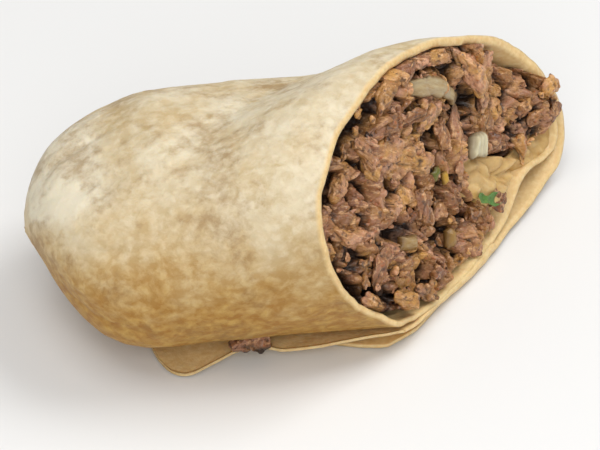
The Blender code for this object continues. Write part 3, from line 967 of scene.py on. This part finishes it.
def flat_distance(first, second):
    """Distance on the cut face between two places given as y and z."""
    dy, dz = first[0] - second[0], first[1] - second[1]
    up = dz / FACE_UP[2]
    across = (dy - FACE_UP[1] * up) / FACE_ACROSS[1]
    return math.hypot(up, across)


def scatter(rng, taken, low, high, spacing, tries, margin):
    """Places for lumps that keep their spacing from those already there."""
    found = []
    for _ in range(tries):
        y, z = rng.uniform(-31, 34), rng.uniform(4, 53)
        size = rng.uniform(low, high)
        if not room_for(y, z, margin + 0.5 * size):
            continue
        if all(flat_distance((y, z), (ty, tz)) > spacing * (size + ts) for ty, tz, ts in taken + found):
            found.append((y, z, size))
    return found


def rim_dip(y, z):
    """The beef has sunk back along the seam side and beyond the crown, fills the
    crown, and stands out over the rim at the far side."""
    near = soft_step(-10.0, -28.0, y) * soft_step(12.0, 34.0, z)
    far = soft_step(14.0, 30.0, y) * soft_step(12.0, 18.0, z) * (1.0 - soft_step(22.0, 28.0, z))
    far_top = soft_step(21.0, 27.0, y) * soft_step(25.0, 31.0, z)
    by_wall = 1.0 - soft_step(1.0, 7.0, depth_inside(y, z, FILLING_EDGE))
    crown = soft_step(-10.0, -2.0, y) * (1.0 - soft_step(20.0, 25.0, y)) * soft_step(35.0, 42.0, z)
    return 3.6 * near - 2.2 * far - 1.5 * crown + (0.3 + 1.8 * by_wall) * far_top


# Lumps of the face that stand out: y, z, spacing, turn of the long side in
# degrees, half sizes, tone, and how far they stand over the cut.
NAMED_CHUNKS = [
    (17.0, 39.6, 3.9, -74, (5.8, 3.0, 2.6), 0.95, 1.1),      # big torn strip by the crown
    (11.0, 47.4, 2.6, -20, (3.4, 1.9, 2.0), 0.75, 0.2),
    (3.4, 50.6, 2.4, 5, (3.8, 1.7, 2.0), 0.2, 0.2),
    (-3.4, 49.4, 2.4, 25, (3.8, 1.9, 2.0), 0.5, 0.0),
    (-5.8, 36.2, 4.6, -35, (6.8, 3.8, 2.4), 0.75, 0.6),      # broad smooth slice
    (-2.6, 31.2, 2.9, -20, (4.4, 2.2, 2.0), 0.75, 0.3),
    (-20.2, 28.6, 3.9, -50, (6.4, 2.9, 2.4), 0.85, 0.3),
    (-12.6, 31.4, 2.8, 80, (3.6, 2.2, 2.2), 0.6, 0.0),
    (24.4, 34.8, 3.3, 75, (4.4, 2.8, 2.4), 0.9, 0.4),
    (19.6, 41.4, 2.4, -58, (3.8, 2.0, 2.0), 0.6, 0.6),
    (30.4, 21.5, 2.8, 75, (3.4, 2.6, 2.6), 0.85, 1.0),       # stands out over the far rim
    (30.8, 15.8, 2.3, 60, (2.6, 2.0, 2.0), 0.1, 0.7),
    (4.4, 37.2, 3.0, 10, (4.0, 2.4, 2.2), 0.95, 0.3),
    (-20.4, 10.4, 2.2, -49, (3.6, 2.0, 2.0), 0.7, 1.5),
    (-15.2, 7.6, 2.0, -35, (3.2, 1.8, 1.9), 0.45, 1.4),
    (-25.4, 15.8, 2.2, -55, (3.4, 1.8, 1.9), 0.6, 1.0),
    (6.8, 7.8, 2.2, 70, (3.0, 1.9, 1.8), 0.5, 0.3),
    (9.6, 9.4, 2.0, 60, (2.6, 1.9, 1.7), 0.0, 1.2),          # dark bit at the sole
]

# Gaps between the lumps: y, z, half length, half width, turn of the long side.
BEEF_GAPS = [
    (12.6, 42.6, 4.6, 1.7, 95), (14.6, 32.8, 3.6, 1.8, -10), (-7.6, 47.4, 3.6, 1.5, 30),
    (-12.0, 22.4, 3.6, 2.0, -30), (1.2, 11.8, 2.6, 1.3, 75), (-19.4, 45.0, 3.2, 1.5, 60),
    (-26.6, 32.2, 3.6, 1.3, 100), (-26.0, 22.0, 4.4, 1.7, 105), (-13.2, 47.6, 2.8, 1.3, 40),
    (-9.6, 30.9, 2.4, 0.9, 80), (23.9, 25.9, 1.3, 1.0, 30), (-22.0, 15.0, 3.4, 1.7, -40),
    (-14.4, 34.4, 2.0, 1.1, 80), (-1.2, 24.0, 1.4, 0.8, 10), (6.0, 28.5, 1.8, 0.7, 80),
    (-19.6, 39.6, 2.2, 1.0, 40), (20.5, 18.5, 1.6, 0.8, 70), (-12.0, 10.5, 2.0, 0.9, 60),
    (-3.8, 16.4, 1.6, 1.0, 70), (29.0, 24.0, 1.8, 0.8, 60),
]

# Bits of vegetable in the face: the middle line as y, z, half width, thickness, how far
# the middle stands over the cut, how pale it is, and how far apart its ribs are.
ONION_BITS = [
    ([(1.4, 47.6), (4.6, 45.4), (8.0, 42.2), (10.8, 38.6), (12.8, 35.2)], 1.7, 1.4, -0.7, 0.1, 1.7),
    ([(9.5, 22.2), (11.9, 26.4)], 2.65, 2.0, 0.8, 0.5, 1.8),
    ([(-14.0, 20.4), (-11.0, 18.0)], 1.5, 2.2, -0.5, -0.1, 2.6),
    ([(-4.2, 10.4), (-2.8, 13.6)], 1.3, 2.0, -0.5, -0.2, 2.6),
]
PEPPER_BITS = [
    ([(-1.6, 26.6), (0.8, 27.0)], 1.0, 1.0, 0.1, 0.0, 2.0),
    ([(0.4, 23.4), (1.2, 25.4)], 0.8, 1.0, 0.2, 0.75, 2.0),
]
BIT_ROWS, BIT_COLUMNS = 22, 44

CHUNK_COUNT = 24
SMALL_COUNT = 34
CRUMB_COUNT = 70
CHUNK_LEAN = math.radians(75)       # most chunks lie near upright on the face
SUNK_SHARE = 0.75                   # how much of a lump's half thickness is below its place
HALF_TURN = 3.14                    # in radians; every lie of a small lump falls within it
CRUMB_FREE_PLACES = 10              # of the taken places, which start with the onion's
DROPPED_BIT = np.array((43.2, -21.9, 5.2))


def make_beef(material):
    rng = np.random.default_rng(7)
    slices, chunks, small, crumbs = Heap(), Heap(), Heap(), Heap()
    taken = [(y, z, 0.7 * half_wide) for line, half_wide, *_ in ONION_BITS + PEPPER_BITS for y, z in line]
    taken += [(y, z, 1.3 * half_wide) for y, z, _, half_wide, _ in BEEF_GAPS]
    for y, z, size, turn, halves, tone, stand in NAMED_CHUNKS:
        lump = chopped_lump(rng, halves, 5, math.radians(turn), rng.uniform(-0.12, 0.12), torn=0.25)
        depth = rim_dip(y, z) + SUNK_SHARE * halves[2] - stand
        slices.add(rng, face_place(y, z, depth), lump, tone)
        taken.append((y, z, size))
    placed = scatter(rng, taken, low=1.9, high=3.2, spacing=1.1, tries=2500, margin=0.4)[:CHUNK_COUNT]
    for y, z, size in placed:
        halves = size * np.array((rng.uniform(1.2, 2.0), rng.uniform(0.7, 0.95), rng.uniform(0.7, 0.9)))
        turn = CHUNK_LEAN + rng.normal() * 0.6
        depth = rim_dip(y, z) + SUNK_SHARE * halves[2] + rng.uniform(-0.6, 0.9)
        lump = chopped_lump(rng, halves, 5, turn, rng.normal() * 0.35, bend=rng.normal() * 0.06)
        chunks.add(rng, face_place(y, z, depth), lump, rng.uniform(0.15, 0.9))
    between = scatter(rng, taken + placed, low=1.0, high=1.6, spacing=1.1, tries=3000, margin=0.8)
    for y, z, size in between[:SMALL_COUNT]:
        halves = size * np.array((rng.uniform(1.0, 2.0), 0.9, 0.75))
        depth = rim_dip(y, z) + 0.8 + rng.uniform(-0.4, 1.2)
        lump = chopped_lump(rng, halves, 4, rng.uniform(0, HALF_TURN), rng.normal() * 0.4, cuts=12,
                            bend=rng.uniform(-0.1, 0.1), torn=0.5, grainy=1.4)
        small.add(rng, face_place(y, z, depth), lump, rng.uniform(0.1, 1.0))
    # Crumbs keep off the onion and lie on anything else.
    avoided = taken[:CRUMB_FREE_PLACES]
    strewn = scatter(rng, avoided, low=0.35, high=0.7, spacing=3.0, tries=4000, margin=1.0)
    for y, z, size in strewn[:CRUMB_COUNT]:
        halves = size * np.array((rng.uniform(1.0, 2.2), 1.0, 0.8))
        depth = rim_dip(y, z) + rng.uniform(-0.2, 1.2)
        lump = chopped_lump(rng, halves, 3, rng.uniform(0, HALF_TURN), rng.normal() * 0.6,
                            torn=0.6, grainy=1.5)
        crumbs.add(rng, face_place(y, z, depth), lump, rng.uniform(0.1, 1.0))
    # One bit has dropped onto the flap.
    dropped = chopped_lump(rng, (3.3, 2.3, 2.3), 5, 0.1, 0.0, cuts=5, torn=0.3)
    slices.add(rng, DROPPED_BIT, dropped, 0.3, axes=np.eye(3), free=True)
    return [
        slices.piece("beef_slices", material),
        chunks.piece("beef_chunks", material),
        small.piece("beef_small_lumps", material),
        crumbs.piece("beef_crumbs", material),
    ]


def directions_of(line):
    """At each point of a line on the face, which way it runs and which way its side lies."""
    along = np.gradient(line, axis=0)
    along /= np.linalg.norm(along, axis=1, keepdims=True)
    return along, np.cross(CUT_NORMAL, along)


def make_bits(name, material, bits, seed):
    """Scraps of a cooked layer, ribbed along, with ragged edges."""
    rng = np.random.default_rng(seed)
    heap = Heap()
    faces = np.array(closed_sheet_faces(BIT_ROWS, BIT_COLUMNS))
    u, v = np.meshgrid(np.linspace(-1.0, 1.0, BIT_COLUMNS), np.linspace(-1.0, 1.0, BIT_ROWS))
    edge = np.maximum(np.abs(u), np.abs(v))
    for line, half_wide, thick, stand, pale, rib_pitch in bits:
        y, z = curve_through(line, BIT_COLUMNS).T
        centre = face_place(y, z, rim_dip(y, z) - stand)
        along, side = directions_of(centre)
        half_long = 0.5 * float(np.linalg.norm(centre[-1] - centre[0]))
        spot = np.stack((u * half_long, v * half_wide, np.full_like(u, rng.uniform(0, 50))), axis=-1)
        torn = layered(spot, (1.0, 2.4, seed), (0.5, 0.9, seed + 1))
        taper = (1.0 - 0.15 * np.abs(u) ** 3) * (1.0 + layered(spot * (1, 0, 1), (0.22, 3.4, seed + 3)))
        w = v * half_wide * taper + 0.4 * torn * np.abs(v)
        slide = 0.5 * torn * np.abs(u) ** 4 * np.sign(u)
        ribs = 0.1 * np.cos(2.0 * math.pi * (w / rib_pitch + 0.08 * torn))
        squareness = 6 if stand > 0.5 else 3        # a bit that stands out has a squarer edge
        top = (0.5 * thick * (1.0 - edge ** squareness) + ribs * (1.0 - edge ** 8)
               + layered(spot, (0.5, 2.2, seed + 2)))
        base = centre + side * w[..., None] + along * slide[..., None]
        points = both_sides(base + CUT_NORMAL * top[..., None], base - CUT_NORMAL * (0.5 * thick))
        # Painted shade: darker at the edges, where the bit sinks into the beef, and in the grooves
        # between the ribs.
        dips_and_shade = np.tile(np.clip(1.4 * edge ** 6 - 1.5 * ribs, 0.0, 1.0).ravel(), 2)
        lump = (points, both_sides(spot, spot), faces, dips_and_shade)
        heap.add(rng, np.zeros(3), lump, pale, axes=np.eye(3))
    return heap.piece(name, material)


# The middle line of the coriander leaf: y, z.
HERB_LINE = [(5.2, 15.0), (6.6, 13.0), (8.4, 11.4), (9.9, 9.6)]
HERB_ROWS, HERB_COLUMNS = 26, 48
HERB_HALF_WIDTH = 1.15
HERB_THICKNESS = 0.22
HERB_STAND = 0.5            # how far the leaf stands over the cut
HERB_WAVE = 0.75
HERB_CUP = 0.25             # how far its edges turn up
HERB_VEIN = 0.12            # the vein's share of its half width


def make_herb(material):
    """A wilted scrap of leaf, wavy and lobed."""
    y, z = curve_through(HERB_LINE, HERB_COLUMNS).T
    centre = face_place(y, z, -HERB_STAND)
    side = directions_of(centre)[1]
    t = np.linspace(0.0, 1.0, HERB_COLUMNS)
    lobes = (1.0 + 0.35 * np.cos(9.0 * t)) * np.sqrt(np.clip(1.0 - (2 * t - 1) ** 4, 0.02, 1.0))
    share = np.linspace(-1.0, 1.0, HERB_ROWS)[:, None]
    front = centre + side * (lobes * HERB_HALF_WIDTH)[:, None] * share[..., None]
    wave = HERB_WAVE * lumpiness(front, 1.8, 81) + HERB_CUP * share ** 2
    front = front + CUT_NORMAL * wave[..., None]
    back = front - CUT_NORMAL * HERB_THICKNESS
    # Painted shade down the vein, which lies in the crease between the turned-up edges.
    vein = np.exp(-(share / HERB_VEIN) ** 2) * np.ones(HERB_COLUMNS)
    return closed_sheet("herb_leaf", front, back, material, {
        "grain_place": both_sides(front, back),
        "tone": np.full(2 * HERB_ROWS * HERB_COLUMNS, 0.25),
        "dip_and_shade": np.tile(0.25 * vein.ravel(), 2),
    })


def crumbled(across, up, size, seed):
    """Ragged cells some millimetres wide: distance to the nearest crack, random
    numbers for each cell, and the place within it."""
    spots = np.stack((across, up), axis=-1) / size
    cell = np.floor(spots).astype(np.int64)
    best = np.full(spots.shape[:-1], 9.0)
    second = best.copy()
    chance = np.zeros(spots.shape[:-1] + (4,))
    offset = np.zeros_like(spots)
    for shift in itertools.product((-1, 0, 1), repeat=2):
        at = cell + np.array(shift)
        number = scrambled(at[..., 0], at[..., 1], seed)
        parts = []
        for k in range(4):
            number = stirred(number) + 7919 * k
            parts.append(chance_of(number))
        parts = np.stack(parts, axis=-1)
        away = at + 0.15 + 0.7 * parts[..., :2] - spots
        distance = np.linalg.norm(away, axis=-1)
        closer = distance < best
        second = np.where(closer, best, np.minimum(second, distance))
        best = np.where(closer, distance, best)
        chance = np.where(closer[..., None], parts, chance)
        offset = np.where(closer[..., None], away, offset)
    return (second - best) * size, chance, -offset * size


def blurred(values, reach):
    """Mean of a grid over so many points each way, twice over."""
    for _ in range(2):
        for axis in (0, 1):
            padded = np.concatenate([np.take(values, [0], axis)] * reach + [values]
                                    + [np.take(values, [-1], axis)] * reach, axis=axis)
            total = np.cumsum(padded, axis=axis)
            ahead = np.take(total, np.arange(2 * reach, total.shape[axis]), axis)
            behind = np.take(total, np.arange(0, total.shape[axis] - 2 * reach), axis)
            values = (ahead - behind) / (2.0 * reach)
    return values


RELIEF_LEAN = math.radians(16)      # the lumps of the core lean this way
RELIEF_FLATNESS = 1.4
LUMP_SIZE = 5.2
SCRAP_SIZE = 2.7
CREVICE_WIDTH = 0.95
SEAM_WIDTH = 0.4
CREVICE_DEPTH = 3.0
SEAM_DEPTH = 0.8
HOLE_DEPTH = 7.0
GAP_WARP = 0.6              # how far the gaps' outlines follow the lumps' raggedness
BLUR_REACH = 7


def swung(across, up, angle):
    """Across and up, measured along a direction at that angle and square to it."""
    c, s = math.cos(angle), math.sin(angle)
    return across * c + up * s, up * c - across * s


def tilted_cells(chance, offset, lift, slope_across, slope_up):
    """Height of cells that each stand at their own level and tilt their own way."""
    return (lift * (chance[..., 2] - 0.5) + slope_across * offset[..., 0] * (chance[..., 3] - 0.5)
            + slope_up * offset[..., 1] * (chance[..., 0] - 0.5))


def beef_relief(across, up):
    """Height of the cut beef over its plane, its tone, and its dip: painted shade where it lies sunken,
    deep or in a crack.
    """
    flat = np.stack((across, up, np.zeros_like(across)), axis=-1)
    warp_a = layered(flat, (1.6, 5.5, 41), (0.7, 2.0, 42), (0.25, 0.9, 51))
    warp_u = layered(flat, (1.6, 5.5, 43), (0.7, 2.0, 44), (0.25, 0.9, 52))
    a, u = swung(across + warp_a, up + warp_u, RELIEF_LEAN)
    u = u / RELIEF_FLATNESS
    crack, chance, offset = crumbled(a, u, LUMP_SIZE, 5)
    fine_crack, fine_chance, fine_offset = crumbled(a + 31.0, 1.2 * u, SCRAP_SIZE, 9)
    big = tilted_cells(chance, offset, 3.4, 1.0, 0.9)
    fine = tilted_cells(fine_chance, fine_offset, 0.8, 0.8, 0.8)
    parted = soft_step(-0.6, 0.3, lumpiness(flat, 5.0, 53))
    crevice = np.exp(-(crack / CREVICE_WIDTH) ** 1.3) * (0.3 + 0.7 * parted)
    fine_parted = soft_step(-0.4, 0.4, lumpiness(flat, 3.0, 54))
    seam = np.exp(-(fine_crack / SEAM_WIDTH) ** 1.4) * (0.3 + 0.7 * fine_parted)
    curls = creased(flat, 2.9, 49)
    granules = creased(flat, 1.6, 45)
    grit = creased(flat, 0.8, 46)
    gap = np.zeros_like(across)
    for gap_y, gap_z, half_long, half_wide, turn in BEEF_GAPS:
        at = (face_place(gap_y, gap_z, 0.0) - CUT_POINT) @ FACE_AXES.T
        along, aside = swung(across + GAP_WARP * warp_a - at[0], up + GAP_WARP * warp_u - at[1],
                             math.radians(turn))
        away = (along / (1.2 * half_long)) ** 2 + (aside / (1.25 * half_wide)) ** 2
        gap = np.maximum(gap, np.exp(-away ** 1.5))
    pits = soft_step(0.45, 0.8, layered(flat, (1.0, 4.4, 47), (0.3, 1.8, 48)))
    hole = np.maximum(gap, 0.7 * pits)
    height = (big + fine - CREVICE_DEPTH * crevice - SEAM_DEPTH * seam + 1.3 * (curls - 0.4)
              + 0.7 * (granules - 0.4) + 0.35 * (grit - 0.4) - HOLE_DEPTH * hole)
    # Painted shade: the dip darkens where the relief lies below its blurred surroundings, where it lies
    # deep, and along the crevices.
    sunken_shade = np.clip((blurred(height, BLUR_REACH) - height - 0.15) / 1.5, 0.0, 1.0)
    low = soft_step(-0.8, -3.4, height)
    tone = np.clip(0.15 + 0.75 * chance[..., 1] + 0.4 * (fine_chance[..., 0] - 0.5), 0.0, 1.0)
    dip_and_shade = np.clip(1.1 * sunken_shade + 0.7 * low + 0.3 * crevice + 0.3 * (0.25 - granules), 0.0, 1.0)
    return height, tone, dip_and_shade


CORE_ACROSS = 340           # points over the face, across and up
CORE_UP = 260
CORE_STATIONS = 9           # rings from the face back to the blunt end
CORE_INSET = 4.2
CORE_START = 9.0
# The beef behind the face, inside the roll, is given dark painted shade.
CORE_DARKNESS = 0.9         # dip of the beef that never shows
CORE_TONE = 0.2
FACE_MIDDLE = (0.0, 28.0)
FACE_SETBACK = 0.9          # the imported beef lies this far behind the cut
FOLD_SETBACK = 5.0          # and this much further behind the crumpled fold
WALL_SETBACK = 1.4          # and this much further along the tortilla


def make_core(material):
    """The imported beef: a cut face in fine relief, and the filling behind it."""
    # A square grid pressed into a disc, and the disc stretched to the filling's edge.
    across, up = np.meshgrid(np.linspace(-1, 1, CORE_ACROSS), np.linspace(-1, 1, CORE_UP))
    disc_a = across * np.sqrt(1 - up * up / 2)
    disc_u = up * np.sqrt(1 - across * across / 2)
    outline = curve_through(FILLING_EDGE, 720)
    middle = np.array(FACE_MIDDLE)
    turn = np.unwrap(np.arctan2(outline[:, 1] - middle[1], outline[:, 0] - middle[0]))
    reach = np.linalg.norm(outline - middle, axis=1)
    order = np.argsort(turn)
    angle = np.arctan2(disc_u, disc_a)
    edge = np.interp(angle, turn[order], reach[order], period=2 * math.pi)
    share = np.hypot(disc_a, disc_u)
    y = middle[0] + edge * share * np.cos(angle)
    z = middle[1] + edge * share * np.sin(angle)
    plane = face_place(y, z, 0.0)
    flat = (plane - CUT_POINT) @ FACE_AXES.T
    height, tone, dip_and_shade = beef_relief(flat[..., 0], flat[..., 1])

    to_edge = depth_inside(y, z, FILLING_EDGE)
    in_fold = soft_step(-0.8, 1.6, depth_inside(y, z, FOLD_AREA))
    standing = soft_step(22.0, 28.0, y) * soft_step(12.0, 16.0, z) * (1.0 - soft_step(22.0, 27.0, z))
    sunk = (rim_dip(y, z) + FACE_SETBACK + FOLD_SETBACK * in_fold
            + WALL_SETBACK * (1.0 - soft_step(0.0, 1.6, to_edge)) * (1.0 - standing))
    face = plane + CUT_NORMAL * (height * (1.0 - 0.6 * in_fold))[..., None]
    face[..., 0] -= sunk / CUT_NORMAL[0]
    face = kept_inside(face.reshape(-1, 3)).reshape(face.shape)

    rim_rows, rim_columns = grid_border(CORE_UP, CORE_ACROSS)
    rim_y, rim_z = y[rim_rows, rim_columns], z[rim_rows, rim_columns]
    front_x = face[rim_rows, rim_columns][:, 0]
    rings = []
    for share in np.linspace(0.0, 0.97, CORE_STATIONS)[1:] ** 1.4:
        x = front_x + (CORE_START - front_x) * share
        ring_y, ring_z = in_the_roll(rim_y, rim_z, CORE_INSET, x, CORE_START)
        rings.append(np.stack((x, ring_y, ring_z), axis=-1))
    points = np.concatenate([face.reshape(-1, 3)] + rings + [rings[-1].mean(axis=0)[None]])
    faces = grid_faces(CORE_UP, CORE_ACROSS)
    count = len(rim_rows)
    grid_count = CORE_ACROSS * CORE_UP
    previous = rim_rows * CORE_ACROSS + rim_columns
    for k in range(len(rings)):
        current = grid_count + k * count + np.arange(count)
        faces += zip(np.roll(previous, -1), previous, current, np.roll(current, -1))
        previous = current
    faces += zip(np.roll(previous, -1), previous, itertools.repeat(len(points) - 1))
    extra = len(points) - grid_count
    return mesh_piece("beef_core", points, faces, material, {
        "grain_place": points,
        "tone": np.concatenate((tone.ravel(), np.full(extra, CORE_TONE))),
        "dip_and_shade": np.concatenate((dip_and_shade.ravel(), np.full(extra, CORE_DARKNESS))),
    })


# ---------------------------------------------------------------- the set

FLOOR_HALF_SIZE = 4.0
CAMERA_TURN = math.radians(-9.0)
CAMERA_RISE = math.radians(39.0)
CAMERA_DISTANCE = 0.75
CAMERA_LENS = 219.7
CAMERA_AIM = np.array((57.0, 0.0, 16.5))        # in the roll's frame


def in_scene(name, data):
    made = bpy.data.objects.new(name, data)
    bpy.context.scene.collection.objects.link(made)
    return made


def aimed(direction):
    return direction.to_track_quat("-Z", "Y").to_euler()


def make_set():
    s = FLOOR_HALF_SIZE
    data = bpy.data.meshes.new("floor")
    data.from_pydata([(-s, -s, 0), (s, -s, 0), (s, s, 0), (-s, s, 0)], [], [(0, 1, 2, 3)])
    material, tree, shader = new_material("matt_white_board")
    fill_inputs(tree, shader, {"Base Color": "#e6e5e3", "Roughness": 0.85})
    data.materials.append(material)
    floor = in_scene("floor", data)

    world = bpy.data.worlds.new("studio")
    bpy.context.scene.world = world
    world.use_nodes = True
    background = world.node_tree.nodes["Background"]
    fill_inputs(world.node_tree, background, {"Color": "#f4f6f8", "Strength": 0.42})

    for name, place, aim, width, power in (
        ("key_softbox", (-0.20, -0.16, 0.84), (0, 0, 0.02), 0.45, 2.1),
        ("top_softbox", (0.42, 0.10, 0.72), (0, 0, 0.02), 0.45, 3.6),
        ("front_card", (-0.10, -0.64, 0.48), (0, 0, 0.02), 0.5, 2.2),
        ("low_card", (-0.22, -0.52, 0.12), (0, 0, 0.01), 0.3, 0.2),
    ):
        light = bpy.data.lights.new(name, "AREA")
        light.size = width
        light.energy = power
        lamp = in_scene(name, light)
        lamp.location = place
        lamp.rotation_euler = aimed(Vector(aim) - Vector(place))

    camera = bpy.data.cameras.new("camera")
    camera.lens = CAMERA_LENS
    camera.sensor_width = 36.0
    camera.clip_start = 0.01
    camera.clip_end = 20.0
    holder = in_scene("camera", camera)
    back = Vector((math.sin(CAMERA_TURN) * math.cos(CAMERA_RISE),
                   -math.cos(CAMERA_TURN) * math.cos(CAMERA_RISE), math.sin(CAMERA_RISE)))
    holder.location = Vector((CAMERA_AIM + ROLL_SHIFT) * MM) + back * CAMERA_DISTANCE
    holder.rotation_euler = aimed(-back)
    bpy.context.scene.camera = holder
    bpy.context.scene.view_settings.view_transform = "Standard"


def main():
    tortilla = griddled_flour_tortilla()
    beef = seared_chopped_beef()
    wrap = make_wrap(tortilla)
    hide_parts("tortilla")
    core = make_core(beef)
    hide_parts("beef_filling")
    sheets = [wrap, make_crumple(tortilla), make_under_flap(tortilla)]
    filling = [core] + make_beef(beef) + [
        make_bits("onion_pieces", sweated_onion(), ONION_BITS, 3),
        make_bits("pepper_pieces", diced_pepper(), PEPPER_BITS, 4),
        make_herb(chopped_coriander()),
    ]
    for piece in sheets:
        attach(piece, "root")
    for piece in filling:
        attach(piece, "root")
    make_set()


main()
